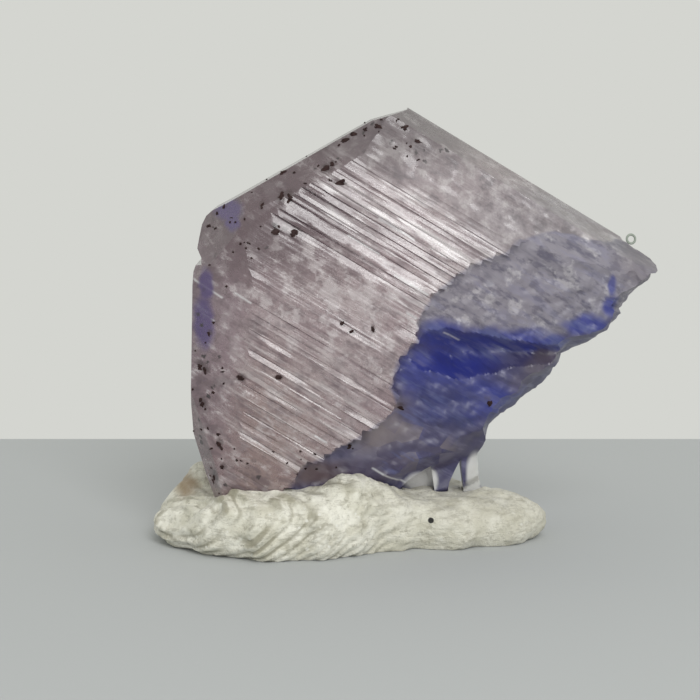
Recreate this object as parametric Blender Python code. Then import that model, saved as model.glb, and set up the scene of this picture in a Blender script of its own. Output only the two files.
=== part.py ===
"""Rough tanzanite: a pale prism, broken blue at one end, held on edge in a pad of mounting putty."""
import math
import random

import bmesh
import bpy
from mathutils import Matrix, Vector, noise

MM = 0.001

# The prism leans in its pad: its axis runs down to the right.
PRISM_LEAN = math.radians(31)
# The blunt left tip of the crystal, where distances along and across the prism start.
TIP_X = -6.04 * MM
TIP_Z = 12.53 * MM
PRISM_MIDDLE = 8.2 * MM
PRISM_HALF_LENGTH = 9.6 * MM

# Section across the prism in mm: (across, towards the front).
UPPER_FACET = [(8.95, -0.25), (8.35, 1.55), (6.5, 2.55)]
FRONT_FACE = [(6.5, 2.55), (0.0, 3.15), (-5.0, 3.05), (-9.6, 2.3)]
BACK_FACE = [(-9.6, -1.1), (-5.5, -3.0), (1.5, -3.5), (6.5, -2.5), (8.95, -0.95)]
FRONT_LEDGE_SPACING = (0.18, 0.52)
FRONT_LEDGE_HEIGHT = (0.03, 0.13)
BACK_LEDGE_SPACING = (0.35, 1.0)
BACK_LEDGE_HEIGHT = (0.05, 0.17)
LEDGE_RISER = 0.06

# Outline of the crystal in mm: (along the prism, across it).
CHISEL_END = [
    (4.45, 9.4), (4.45, 8.86), (3.41, 7.75), (2.67, 6.47), (0.12, 1.94), (-0.26, 1.32), (-0.38, 0.96),
    (-0.35, 0.58), (-0.15, 0.04), (-0.01, -0.31), (0.35, -0.51), (0.49, -0.73), (0.29, -0.89), (0.35, -1.16),
    (3.03, -5.9), (3.72, -6.95), (5.0, -8.1), (6.45, -9.25)]
BROKEN_END = [
    (14.44, -4.5), (14.1, -3.82), (13.97, -3.45), (13.9, -2.85), (13.86, -2.3), (14.12, -2.74),
    (14.43, -3.12), (14.86, -3.66), (15.2, -4.25), (15.95, -3.8), (15.58, -3.23), (14.96, -2.7),
    (14.59, -2.17), (14.32, -1.8), (14.3, -1.5), (14.3, -1.22), (14.27, -0.61), (14.43, -0.1), (14.71, 0.51),
    (14.96, 1.31), (15.27, 2.03), (15.39, 3.02), (15.31, 3.51), (15.7, 4.02), (16.2, 4.87), (16.2, 5.25),
    (16.32, 5.96), (16.3, 6.25), (16.08, 6.38), (16.1, 6.65), (16.25, 7.36), (16.47, 8.01), (16.61, 8.42),
    (16.5, 8.72), (16.2, 8.82), (14.9, 8.85), (14.7, 8.97), (14.5, 9.4)]

# Where the break starts on the front face and on the back, in mm: (along, across), top to bottom.
FRONT_BREAK_LINE = [
    (15.6, 9.6), (14.2, 8.5), (11.9, 7.7), (10.95, 6.75), (10.69, 5.92), (10.1, 5.4), (9.68, 4.67), (9.3, 3.8),
    (9.05, 2.88), (9.09, 1.96), (9.43, 1.09), (9.19, 0.09), (9.54, -1.03), (10.31, -1.52), (9.8, -2.7),
    (9.24, -3.73), (8.7, -4.8), (8.29, -5.45), (8.1, -6.64), (7.4, -8.6), (7.4, -10.4)]
BACK_BREAK_LINE = [
    (16.3, 9.6), (14.8, 8.0), (13.4, 6.4), (13.7, 4.6), (12.2, 3.0), (11.8, 0.9), (10.6, -0.6), (10.9, -2.6),
    (9.9, -4.6), (9.4, -7.2), (9.4, -10.4)]
BREAK_FAR_SIDE = 17.6
BREAK_CELL = 0.25
BREAK_SPAN = ((7.2, 17.8), (-10.6, 9.8))
SLAB_HALF_DEPTH = 5.5
CUTTER_ROOF = 5.0

# The grainy shelf of the break in mm: height at a place, rise per mm each way, grains as (size, height).
SHELF_PLACE = (9.0, 6.0)
SHELF_HEIGHT = 2.62
SHELF_RISE = (-0.13, 0.04)
SHELF_GRAINS = [(0.75, 0.16), (0.33, 0.09)]

# The shell-like scoop in mm: it opens from its start along a turned axis, and narrows towards the edge.
SCOOP_START = (9.2, 0.3)
SCOOP_TURN = math.radians(30.5)
SCOOP_HALF_WIDTH = 1.55
SCOOP_NARROWING = 0.16
SCOOP_LEAST_HALF_WIDTH = 0.45
SCOOP_FLOOR = 0.55
SCOOP_CLIMB = 0.1
SCOOP_HEAD = 1.0
SCOOP_DEPTH = 1.7
SCOOP_RIPPLE = 0.16
SCOOP_WAVES = (0.8, 0.9)
SCOOP_BEND = (1.6, 0.4)

# The stepped facets under the scoop in mm, falling along a turned axis to their lowest level.
LOWER_START = (8.2, -6.6)
LOWER_TURN = math.radians(-29)
LOWER_LEAD = 0.5
LOWER_TOP = 2.8
LOWER_FALL = 0.8
LOWER_FLOOR = -0.3
LOWER_BEND = (3.2, 0.45)
LOWER_STEP = 0.5
LOWER_STEP_WAVES = 0.5
LOWER_SPUR = 0.3
LOWER_SPUR_WAVES = (0.3, 0.3)

# The back of the break in mm: two broad shells that rise along a turned axis to a flat floor.
BACK_START = (10.2, -6.0)
BACK_TURN = math.radians(-11)
BACK_BOTTOM = -3.35
BACK_RISE = 0.7
BACK_FLOOR = -1.35
BACK_SHELL = 0.35
BACK_SHELL_WAVES = (0.5, 0.16)
BACK_RIPPLE = 0.12
BACK_RIPPLE_WAVES = (1.3, 0.25)
BACK_GRAINS = [(0.7, 0.12)]
FLOOR_GRAINS = [(0.6, 0.08)]

# The broken right edge in mm: a wandering ridge behind the middle, from which its walls lean in both ways.
EDGE_NEAREST = 12.0
EDGE_RIDGE = -0.7
EDGE_WANDER = (1.5, 0.9)
EDGE_LEAN = 0.3
EDGE_LEAN_CHANGE = (1.3, 0.8)
EDGE_CHIPS = (0.8, 0.25)
EDGE_LAYERS = [-3.4, -2.6, -1.9, -1.3, -0.7, -0.1, 0.5, 1.2, 2.0, 2.8]
EDGE_FADE_LOW = (-1.4, -0.4)
EDGE_FADE_HIGH = (8.2, 8.6)

# A pocket in front of a thin clear pane between the body and the leg, in mm: outline, floor and roof.
PANE_OUTLINE = [(12.25, -4.75), (12.42, -4.2), (12.9, -3.2), (13.6, -4.05), (14.0, -4.75)]
PANE_FLOOR = -0.85
PANE_ROOF = 3.2

# Flat faces that bevel the chisel end, in mm: a point (along, across, front) and the way the face looks.
END_BEVELS = [
    ((1.13, 3.6, 2.25), (-0.72, 0.44, 0.62)),
    ((1.13, 3.6, -1.9), (-0.70, 0.43, -0.60)),
    ((1.6, -3.45, 2.25), (-0.78, -0.47, 0.52)),
    ((1.6, -3.45, -1.6), (-0.66, -0.40, -0.68)),
    ((3.7, 2.04, 3.1), (-0.28, 0.17, 0.945)),
    ((3.2, -1.47, 3.1), (-0.30, -0.18, 0.936)),
    ((3.6, 8.25, 0.4), (-0.62, 0.42, 0.72)),
    ((5.2, -8.1, 1.9), (-0.62, -0.62, 0.55)),
    ((-0.27, 0.79, 1.0), (-0.86, 0.0, 0.6)),
]

# Mounting putty in mm: its plan as (angle in degrees, reach), its height, and how far it is sunk to its base.
PUTTY_CENTRE = (0.1, -0.1)
PUTTY_PLAN = [
    (0, 8.2), (25, 6.5), (55, 5.3), (90, 4.7), (125, 5.9), (150, 7.6), (172, 8.3), (188, 8.2), (205, 7.3),
    (228, 6.1), (250, 4.7), (270, 3.9), (295, 3.2), (315, 3.6), (335, 5.6), (350, 7.6)]
PUTTY_HEIGHT = 1.3
PUTTY_SINK = 0.7
PUTTY_EDGE_POWER = 0.72
PUTTY_TOP_POWER = 0.8
PUTTY_RINGS = 22
PUTTY_SEGMENTS = 72
# Lumps pressed up in the putty: (x, y, radius, height) in mm.
PUTTY_LUMPS = [
    (-6.3, 2.1, 1.3, 1.2), (0.2, -2.4, 1.9, 1.15), (-4.2, -3.1, 2.3, 0.75), (6.6, 0.2, 1.1, 0.25),
    (-1.5, 3.6, 2.2, 0.7), (3.6, 3.2, 1.9, 0.35)]
LUMP_FEATHER = 3.0
PUTTY_SWELLS = [(1.7, 0.22, (0, 0, 0)), (0.8, 0.12, (7, 1, 3))]
# The socket keeps a small gap round the crystal, and is cut in four hollows: (lowest x, highest x) in mm.
SOCKET_GAP = 0.3
SOCKET_TOP = 3.4
SOCKET_PARTS = [(-9.0, -2.2), (-2.6, 1.9), (1.5, 4.3), (4.2, 7.0)]

STONE_COLOUR = (0.30, 0.24, 0.27, 1.0)
STONE_ROUGHNESS = 0.25
STONE_TRANSMISSION = 0.6
PUTTY_COLOUR = (0.62, 0.60, 0.50, 1.0)
PUTTY_ROUGHNESS = 0.7
WELD = 1e-6
CUT_SNAP = 1e-7


def clear_scene():
    for thing in list(bpy.data.objects):
        bpy.data.objects.remove(thing, do_unlink=True)


def new_collection(name):
    collection = bpy.data.collections.new(name)
    bpy.context.scene.collection.children.link(collection)
    return collection


def plain_material(name, colour, roughness, transmission):
    material = bpy.data.materials.new(name)
    material.use_nodes = True
    shader = material.node_tree.nodes["Principled BSDF"]
    shader.inputs["Base Color"].default_value = colour
    shader.inputs["Roughness"].default_value = roughness
    shader.inputs["Metallic"].default_value = 0.0
    shader.inputs["Transmission Weight"].default_value = transmission
    return material


def prism_directions():
    """Unit directions along the prism, across it, and out of its front face."""
    along = Vector((math.cos(PRISM_LEAN), 0.0, -math.sin(PRISM_LEAN)))
    across = Vector((math.sin(PRISM_LEAN), 0.0, math.cos(PRISM_LEAN)))
    front = Vector((0.0, -1.0, 0.0))
    return along, across, front


def frame_from(x_axis, y_axis, z_axis, origin):
    matrix = Matrix((x_axis, y_axis, z_axis)).transposed().to_4x4()
    matrix.translation = origin
    return matrix


def section_frame():
    """Local X runs across the prism, Y to the front, Z along the prism."""
    along, across, front = prism_directions()
    origin = Vector((TIP_X, 0.0, TIP_Z)) + along * PRISM_MIDDLE
    return frame_from(across, front, along, origin)


def face_frame():
    """Local X runs along the prism, Y across it, Z to the front."""
    along, across, front = prism_directions()
    return frame_from(along, across, front, Vector((TIP_X, 0.0, TIP_Z)))


def link(name, mesh, collection, matrix):
    thing = bpy.data.objects.new(name, mesh)
    thing.matrix_world = matrix
    collection.objects.link(thing)
    return thing


def hide_cutter(thing):
    thing.hide_render = True
    thing.display_type = "WIRE"
    return thing


def extruded_outline(name, points, half_depth, collection, matrix):
    """A flat outline in millimetres, filled and extruded both ways, as a welded mesh."""
    curve = bpy.data.curves.new(name + "_curve", "CURVE")
    curve.dimensions = "2D"
    curve.fill_mode = "BOTH"
    curve.extrude = half_depth * MM
    spline = curve.splines.new("POLY")
    spline.points.add(len(points) - 1)
    for point, (x, y) in zip(spline.points, points):
        point.co = (x * MM, y * MM, 0.0, 1.0)
    spline.use_cyclic_u = True
    drawn = link(name + "_drawn", curve, collection, matrix)
    bpy.context.view_layer.update()
    graph = bpy.context.evaluated_depsgraph_get()
    mesh = bpy.data.meshes.new_from_object(drawn.evaluated_get(graph))
    mesh.name = name
    weld_and_face_out(mesh)
    solid = link(name, mesh, collection, drawn.matrix_world.copy())
    bpy.data.objects.remove(drawn, do_unlink=True)
    return solid


def weld_and_face_out(mesh):
    shape = bmesh.new()
    shape.from_mesh(mesh)
    bmesh.ops.remove_doubles(shape, verts=shape.verts, dist=WELD)
    bmesh.ops.recalc_face_normals(shape, faces=shape.faces)
    shape.to_mesh(mesh)
    shape.free()
    mesh.shade_flat()


def boolean(target, cutter, operation):
    modifier = target.modifiers.new(cutter.name, "BOOLEAN")
    modifier.operation = operation
    modifier.object = cutter
    modifier.solver = "EXACT"
    return modifier


def on_polyline(points, x):
    """Height of a polyline at x, where its points run either way in x."""
    ordered = sorted(points)
    for (x0, y0), (x1, y1) in zip(ordered, ordered[1:]):
        if x0 <= x <= x1:
            return y0 + (y1 - y0) * (x - x0) / (x1 - x0)
    return ordered[0][1] if x < ordered[0][0] else ordered[-1][1]


def ledged_face(face, spacing, height, outward, rng):
    """A face broken into parallel growth ledges, each a long tread and a short riser."""
    ordered = sorted(face)
    low, high = ordered[0][0], ordered[-1][0]
    points = [ordered[0]]
    across = low
    while True:
        across += rng.uniform(*spacing)
        if across > high - spacing[0]:
            break
        step = outward * rng.uniform(*height)
        middle = on_polyline(face, across)
        points.append((across, middle + step * 0.5))
        points.append((across + LEDGE_RISER, middle - step * 0.5))
    points.append(ordered[-1])
    return points


def prism_section():
    rng = random.Random(41)
    front = ledged_face(FRONT_FACE, FRONT_LEDGE_SPACING, FRONT_LEDGE_HEIGHT, 1.0, rng)
    back = ledged_face(BACK_FACE, BACK_LEDGE_SPACING, BACK_LEDGE_HEIGHT, -1.0, rng)
    upper = list(reversed(UPPER_FACET[:-1]))
    return front + upper + list(reversed(back))


def bevel_end(mesh):
    """Cuts the flat end faces off the prism, in its section frame."""
    shape = bmesh.new()
    shape.from_mesh(mesh)
    for (along, across, front), (n_along, n_across, n_front) in END_BEVELS:
        point = Vector((across * MM, front * MM, along * MM - PRISM_MIDDLE))
        normal = Vector((n_across, n_front, n_along)).normalized()
        geometry = shape.verts[:] + shape.edges[:] + shape.faces[:]
        cut = bmesh.ops.bisect_plane(
            shape, geom=geometry, dist=CUT_SNAP, plane_co=point, plane_no=normal, clear_outer=True)
        rim = [item for item in cut["geom_cut"] if isinstance(item, bmesh.types.BMEdge)]
        bmesh.ops.holes_fill(shape, edges=rim, sides=0)
    bmesh.ops.recalc_face_normals(shape, faces=shape.faces)
    shape.to_mesh(mesh)
    shape.free()


def triangle_wave(x):
    return abs((x % 1.0) * 2.0 - 1.0)


def grain(along, across, size, seed):
    return noise.noise(Vector((along / size, across / size, seed)))


def grains(along, across, layers, seed):
    """Several sizes of grain together, given as (size, height)."""
    return sum(
        height * grain(along, across, size, seed + layer) for layer, (size, height) in enumerate(layers))


def rising(x, low, high):
    """Eases from 0 at the low value to 1 at the high one."""
    share = min(1.0, max(0.0, (x - low) / (high - low)))
    return share * share * (3 - 2 * share)


def turned(along, across, start, turn):
    """Distances from a place along and across an axis that is turned from the prism's."""
    far = along - start[0]
    wide = across - start[1]
    return far * math.cos(turn) + wide * math.sin(turn), wide * math.cos(turn) - far * math.sin(turn)


def shelf_height(along, across):
    """The grainy shelf below the upper edge."""
    slope = SHELF_RISE[0] * (along - SHELF_PLACE[0]) + SHELF_RISE[1] * (across - SHELF_PLACE[1])
    return SHELF_HEIGHT + slope + grains(along, across, SHELF_GRAINS, 3.0)


def scoop_height(along, across):
    """The shell-like scoop, rippled across its length."""
    lengthwise, sideways = turned(along, across, SCOOP_START, SCOOP_TURN)
    half_width = max(SCOOP_HALF_WIDTH - SCOOP_NARROWING * lengthwise, SCOOP_LEAST_HALF_WIDTH)
    floor = SCOOP_FLOOR + SCOOP_CLIMB * lengthwise + max(0.0, SCOOP_HEAD - lengthwise)
    bend = SCOOP_BEND[1] * grain(along, across, SCOOP_BEND[0], 5.0)
    ripple = triangle_wave(lengthwise * SCOOP_WAVES[0] + sideways * SCOOP_WAVES[1] + bend)
    return floor + SCOOP_DEPTH * (sideways / half_width) ** 2 + SCOOP_RIPPLE * ripple


def lower_height(along, across):
    """Stepped facets that fall from the front face to the lower outline."""
    fallen, sideways = turned(along, across, LOWER_START, LOWER_TURN)
    down = fallen + LOWER_LEAD
    bend = LOWER_BEND[1] * grain(along, across, LOWER_BEND[0], 11.0)
    step = LOWER_STEP * triangle_wave(down * LOWER_STEP_WAVES + bend)
    spur = LOWER_SPUR * triangle_wave(sideways * LOWER_SPUR_WAVES[0] + down * LOWER_SPUR_WAVES[1] + bend)
    lowest = LOWER_FLOOR + grains(along, across, FLOOR_GRAINS, 4.0)
    return max(LOWER_TOP - LOWER_FALL * down + step + spur, lowest)


def front_break_height(along, across):
    return min(shelf_height(along, across), scoop_height(along, across), lower_height(along, across))


def back_break_height(along, across):
    """The break seen from behind."""
    inward = turned(along, across, BACK_START, BACK_TURN)[0]
    shell = BACK_SHELL * triangle_wave(inward * BACK_SHELL_WAVES[0] + across * BACK_SHELL_WAVES[1])
    bend = grain(along, across, 1.9, 17.0)
    ripple = BACK_RIPPLE * triangle_wave(inward * BACK_RIPPLE_WAVES[0] + across * BACK_RIPPLE_WAVES[1] + bend)
    rise = BACK_BOTTOM + BACK_RISE * inward + shell + ripple + grains(along, across, BACK_GRAINS, 9.0)
    return min(rise, BACK_FLOOR + grains(along, across, FLOOR_GRAINS, 12.0))


def edge_shift(across, front):
    """How far the wall of the broken edge leans in at a place, with its chips."""
    ridge = EDGE_RIDGE + EDGE_WANDER[1] * grain(across, 0.0, EDGE_WANDER[0], 61.0)
    side = math.copysign(1.0, front - ridge)
    lean = EDGE_LEAN * (1 + EDGE_LEAN_CHANGE[1] * grain(across, side, EDGE_LEAN_CHANGE[0], 67.0))
    chips = EDGE_CHIPS[1] * grain(across, front, EDGE_CHIPS[0], 71.0)
    fade = rising(across, *EDGE_FADE_LOW) * (1 - rising(across, *EDGE_FADE_HIGH))
    return fade * (chips * min(1.0, abs(front - ridge)) - lean * abs(front - ridge))


def lean_broken_edge(mesh):
    """Cuts the outline's walls into layers, and leans the broken ones in, in the face frame."""
    shape = bmesh.new()
    shape.from_mesh(mesh)
    for layer in EDGE_LAYERS:
        bmesh.ops.bisect_plane(
            shape, geom=shape.verts[:] + shape.edges[:] + shape.faces[:], dist=CUT_SNAP,
            plane_co=(0, 0, layer * MM), plane_no=(0, 0, 1))
    for vert in shape.verts:
        along, across, front = vert.co / MM
        if along > EDGE_NEAREST:
            vert.co.x += edge_shift(across, front) * MM
    shape.to_mesh(mesh)
    shape.free()


def relief_block(name, height, roof, collection, matrix):
    """A block whose one side follows a height formula and whose other side is flat, in the face frame."""
    (low_along, high_along), (low_across, high_across) = BREAK_SPAN
    long_cells = round((high_along - low_along) / BREAK_CELL)
    wide_cells = round((high_across - low_across) / BREAK_CELL)
    shape = bmesh.new()
    bmesh.ops.create_grid(shape, x_segments=long_cells, y_segments=wide_cells, size=0.5)
    for vert in shape.verts:
        along = low_along + (vert.co.x + 0.5) * (high_along - low_along)
        across = low_across + (vert.co.y + 0.5) * (high_across - low_across)
        vert.co = Vector((along, across, height(along, across))) * MM
    extruded = bmesh.ops.extrude_face_region(shape, geom=shape.faces[:])
    for item in extruded["geom"]:
        if isinstance(item, bmesh.types.BMVert):
            item.co.z = roof * MM
    bmesh.ops.recalc_face_normals(shape, faces=shape.faces)
    mesh = bpy.data.meshes.new(name)
    shape.to_mesh(mesh)
    shape.free()
    return hide_cutter(link(name, mesh, collection, matrix))


def break_cutter(name, line, height, roof, cutters):
    """What the break took away on one side: the relief, kept inside its outline."""
    outline = line + [(BREAK_FAR_SIDE, line[-1][1]), (BREAK_FAR_SIDE, line[0][1])]
    fence = extruded_outline(name + "_outline", outline, SLAB_HALF_DEPTH, cutters, face_frame())
    hide_cutter(fence)
    block = relief_block(name, height, roof, cutters, face_frame())
    boolean(block, fence, "INTERSECT")
    return block


def pane_cutter(cutters):
    middle = (PANE_FLOOR + PANE_ROOF) / 2
    frame = face_frame() @ Matrix.Translation((0, 0, middle * MM))
    pocket = extruded_outline("pane_pocket", PANE_OUTLINE, (PANE_ROOF - PANE_FLOOR) / 2, cutters, frame)
    return hide_cutter(pocket)


def make_crystal(parts, cutters):
    crystal = extruded_outline(
        "tanzanite_crystal", prism_section(), PRISM_HALF_LENGTH / MM, parts, section_frame())
    bevel_end(crystal.data)
    outline = extruded_outline(
        "crystal_outline", CHISEL_END + BROKEN_END, SLAB_HALF_DEPTH, cutters, face_frame())
    lean_broken_edge(outline.data)
    hide_cutter(outline)
    boolean(crystal, outline, "INTERSECT")
    front = break_cutter("front_break", FRONT_BREAK_LINE, front_break_height, CUTTER_ROOF, cutters)
    boolean(crystal, front, "DIFFERENCE")
    back = break_cutter("back_break", BACK_BREAK_LINE, back_break_height, -CUTTER_ROOF, cutters)
    boolean(crystal, back, "DIFFERENCE")
    boolean(crystal, pane_cutter(cutters), "DIFFERENCE")
    stone = plain_material("tanzanite", STONE_COLOUR, STONE_ROUGHNESS, STONE_TRANSMISSION)
    crystal.data.materials.append(stone)
    return crystal


def putty_reach(angle):
    """Plan radius of the putty at an angle, eased between the listed directions."""
    plan = PUTTY_PLAN + [(PUTTY_PLAN[0][0] + 360, PUTTY_PLAN[0][1])]
    degrees = math.degrees(angle) % 360
    for (a0, r0), (a1, r1) in zip(plan, plan[1:]):
        if a0 <= degrees <= a1:
            return r0 + (r1 - r0) * rising(degrees, a0, a1)
    return plan[0][1]


def putty_point(direction):
    """Where a point of a unit ball goes on the pressed pad, in mm."""
    angle = math.atan2(direction.y, direction.x)
    flat = math.hypot(direction.x, direction.y)
    reach = putty_reach(angle) * flat ** PUTTY_EDGE_POWER
    x = PUTTY_CENTRE[0] + reach * math.cos(angle)
    y = PUTTY_CENTRE[1] + reach * math.sin(angle)
    z = PUTTY_HEIGHT * math.copysign(abs(direction.z) ** PUTTY_TOP_POWER, direction.z)
    if direction.z > 0:
        for lump_x, lump_y, radius, height in PUTTY_LUMPS:
            near = ((x - lump_x) ** 2 + (y - lump_y) ** 2) / radius ** 2
            z += height * math.exp(-near) * min(1.0, direction.z * LUMP_FEATHER)
    place = Vector((x, y, z))
    swell = sum(height * noise.noise(place / size + Vector(shift)) for size, height, shift in PUTTY_SWELLS)
    return place + direction.normalized() * swell


def make_putty(crystal, parts, cutters):
    shape = bmesh.new()
    bmesh.ops.create_uvsphere(shape, u_segments=PUTTY_SEGMENTS, v_segments=PUTTY_RINGS, radius=1.0)
    for vert in shape.verts:
        vert.co = (putty_point(vert.co.copy()) + Vector((0, 0, PUTTY_SINK))) * MM
    cut = bmesh.ops.bisect_plane(
        shape, geom=shape.verts[:] + shape.edges[:] + shape.faces[:], dist=CUT_SNAP,
        plane_co=(0, 0, 0), plane_no=(0, 0, -1), clear_outer=True)
    rim = [item for item in cut["geom_cut"] if isinstance(item, bmesh.types.BMEdge)]
    bmesh.ops.holes_fill(shape, edges=rim, sides=0)
    bmesh.ops.recalc_face_normals(shape, faces=shape.faces)
    mesh = bpy.data.meshes.new("mounting_putty")
    shape.to_mesh(mesh)
    shape.free()
    putty = link("mounting_putty", mesh, parts, Matrix.Identity(4))
    for number, (low_x, high_x) in enumerate(SOCKET_PARTS):
        boolean(putty, socket_cutter(crystal, low_x, high_x, number, cutters), "DIFFERENCE")
    putty.data.materials.append(plain_material("mounting putty", PUTTY_COLOUR, PUTTY_ROUGHNESS, 0.0))
    return putty


def sunken_points(crystal, low_x, high_x):
    """Points of the crystal's sunken part between two places in x, in world space."""
    graph = bpy.context.evaluated_depsgraph_get()
    whole = crystal.evaluated_get(graph)
    shape = bmesh.new()
    shape.from_mesh(whole.data)
    shape.transform(whole.matrix_world)
    planes = [((0, 0, SOCKET_TOP), (0, 0, 1)), ((low_x, 0, 0), (-1, 0, 0)), ((high_x, 0, 0), (1, 0, 0))]
    for point, normal in planes:
        bmesh.ops.bisect_plane(
            shape, geom=shape.verts[:] + shape.edges[:] + shape.faces[:], dist=CUT_SNAP,
            plane_co=Vector(point) * MM, plane_no=normal, clear_outer=True)
    places = [vert.co.copy() for vert in shape.verts]
    shape.free()
    return places


def socket_cutter(crystal, low_x, high_x, number, cutters):
    """A hollow that clears the crystal's sunken part between two places in x."""
    shape = bmesh.new()
    for place in sunken_points(crystal, low_x, high_x):
        for corner in range(8):
            signs = [1 if corner >> bit & 1 else -1 for bit in range(3)]
            shape.verts.new(place + Vector(signs) * SOCKET_GAP * MM)
    hull = bmesh.ops.convex_hull(shape, input=shape.verts)
    unused = set(hull["geom_interior"] + hull["geom_unused"])
    spare = [item for item in unused if isinstance(item, bmesh.types.BMVert)]
    bmesh.ops.delete(shape, geom=spare, context="VERTS")
    bmesh.ops.recalc_face_normals(shape, faces=shape.faces)
    name = f"socket_{number}"
    mesh = bpy.data.meshes.new(name)
    shape.to_mesh(mesh)
    shape.free()
    return hide_cutter(link(name, mesh, cutters, Matrix.Identity(4)))


def centre_on_base(things):
    """Hangs everything on one empty, and moves that so the parts stand centred on the origin."""
    bpy.context.view_layer.update()
    graph = bpy.context.evaluated_depsgraph_get()
    corners = []
    for thing in things:
        seen = thing.evaluated_get(graph)
        corners += [seen.matrix_world @ vert.co for vert in seen.data.vertices]
    middle_x = (min(c.x for c in corners) + max(c.x for c in corners)) / 2
    middle_y = (min(c.y for c in corners) + max(c.y for c in corners)) / 2
    lowest = min(c.z for c in corners)
    stand = bpy.data.objects.new("specimen", None)
    bpy.context.scene.collection.objects.link(stand)
    for thing in list(bpy.data.objects):
        if thing is not stand:
            thing.parent = stand
    stand.location = (-middle_x, -middle_y, -lowest)


def main():
    clear_scene()
    parts = new_collection("rough_tanzanite")
    cutters = new_collection("cutters")
    crystal = make_crystal(parts, cutters)
    bpy.context.view_layer.update()
    putty = make_putty(crystal, parts, cutters)
    centre_on_base([crystal, putty])


main()
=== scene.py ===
"""Rough tanzanite on mounting putty: the finish of the crystal and the putty, the stage and the light."""
import math
import random

import bpy
from mathutils import Matrix, Vector, noise
from mathutils.bvhtree import BVHTree


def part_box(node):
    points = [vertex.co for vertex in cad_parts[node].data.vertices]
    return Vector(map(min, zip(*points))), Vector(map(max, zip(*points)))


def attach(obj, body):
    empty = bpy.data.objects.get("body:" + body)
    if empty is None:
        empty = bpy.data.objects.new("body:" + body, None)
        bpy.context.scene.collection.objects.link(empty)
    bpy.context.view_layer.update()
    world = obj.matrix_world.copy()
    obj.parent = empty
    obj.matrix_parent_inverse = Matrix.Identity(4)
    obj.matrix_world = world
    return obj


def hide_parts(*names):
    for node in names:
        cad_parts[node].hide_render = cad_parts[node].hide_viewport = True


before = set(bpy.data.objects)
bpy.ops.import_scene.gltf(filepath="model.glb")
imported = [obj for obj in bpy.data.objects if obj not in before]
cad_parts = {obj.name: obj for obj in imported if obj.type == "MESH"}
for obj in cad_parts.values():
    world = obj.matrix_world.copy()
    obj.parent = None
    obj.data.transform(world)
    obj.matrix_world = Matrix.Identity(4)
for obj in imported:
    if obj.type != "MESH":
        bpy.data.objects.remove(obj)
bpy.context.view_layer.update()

MM = 0.001

# The prism's own frame: along its axis, across it, and out of its front face.
PRISM_LEAN = math.radians(31)
ALONG = Vector((math.cos(PRISM_LEAN), 0.0, -math.sin(PRISM_LEAN)))
ACROSS = Vector((math.sin(PRISM_LEAN), 0.0, math.cos(PRISM_LEAN)))
FRONT = Vector((0.0, -1.0, 0.0))
CRYSTAL_LOW, CRYSTAL_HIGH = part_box("tanzanite_crystal")
TIP = Vector((CRYSTAL_LOW.x + 0.442 * MM, CRYSTAL_LOW.y + 3.202 * MM, CRYSTAL_HIGH.z - 5.38 * MM))
PRISM_FRAME = Matrix((ALONG, ACROSS, FRONT)).transposed().to_4x4()
PRISM_FRAME.translation = TIP

# The photograph's camera, and the middle of its picture on the crystal's middle plane.
PHOTO_SIZE = 700
PHOTO_MIDDLE = 350
LENS = 100.0
SENSOR = 36.0
CAMERA_RISE = math.radians(8)
CAMERA_DISTANCE = 81 * MM
AIM = TIP + Vector((6.04, 0.0, -4.63)) * MM
FOCAL_PIXELS = LENS / SENSOR * PHOTO_SIZE
PIXELS_PER_MM = 24.0

# Section across the prism in mm: (across, towards the front).
FRONT_FACE = [(-9.9, 2.25), (-9.6, 2.3), (-5.0, 3.05), (0.0, 3.15), (6.5, 2.55), (8.35, 1.55), (8.8, 1.3)]
BACK_FACE = [(-9.9, -0.95), (-9.6, -1.1), (-5.5, -3.0), (1.5, -3.5), (9.4, -1.92)]

# Outline of the crystal in mm: (along the prism, across it).
CHISEL_END = [
    (4.45, 9.4), (4.45, 8.86), (3.41, 7.75), (2.67, 6.47), (0.12, 1.94), (-0.26, 1.32), (-0.38, 0.96),
    (-0.35, 0.58), (-0.15, 0.04), (-0.01, -0.31), (0.35, -0.51), (0.49, -0.73), (0.29, -0.89), (0.35, -1.16),
    (3.03, -5.9), (3.72, -6.95), (5.0, -8.1), (6.45, -9.25)]
BROKEN_END = [
    (14.44, -4.5), (14.1, -3.82), (13.97, -3.45), (13.9, -2.85), (13.86, -2.3), (14.12, -2.74),
    (14.43, -3.12), (14.86, -3.66), (15.2, -4.25), (15.95, -3.8), (15.58, -3.23), (14.96, -2.7),
    (14.59, -2.17), (14.32, -1.8), (14.3, -1.5), (14.3, -1.22), (14.27, -0.61), (14.43, -0.1), (14.71, 0.51),
    (14.96, 1.31), (15.27, 2.03), (15.39, 3.02), (15.31, 3.51), (15.7, 4.02), (16.2, 4.87), (16.3, 5.25),
    (16.5, 5.96), (16.52, 6.25), (16.32, 6.38), (16.34, 6.65), (16.5, 7.36), (16.66, 8.01), (16.66, 8.42),
    (16.5, 8.72), (16.2, 8.82), (14.9, 8.85), (14.7, 8.97), (14.5, 9.4)]

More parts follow.
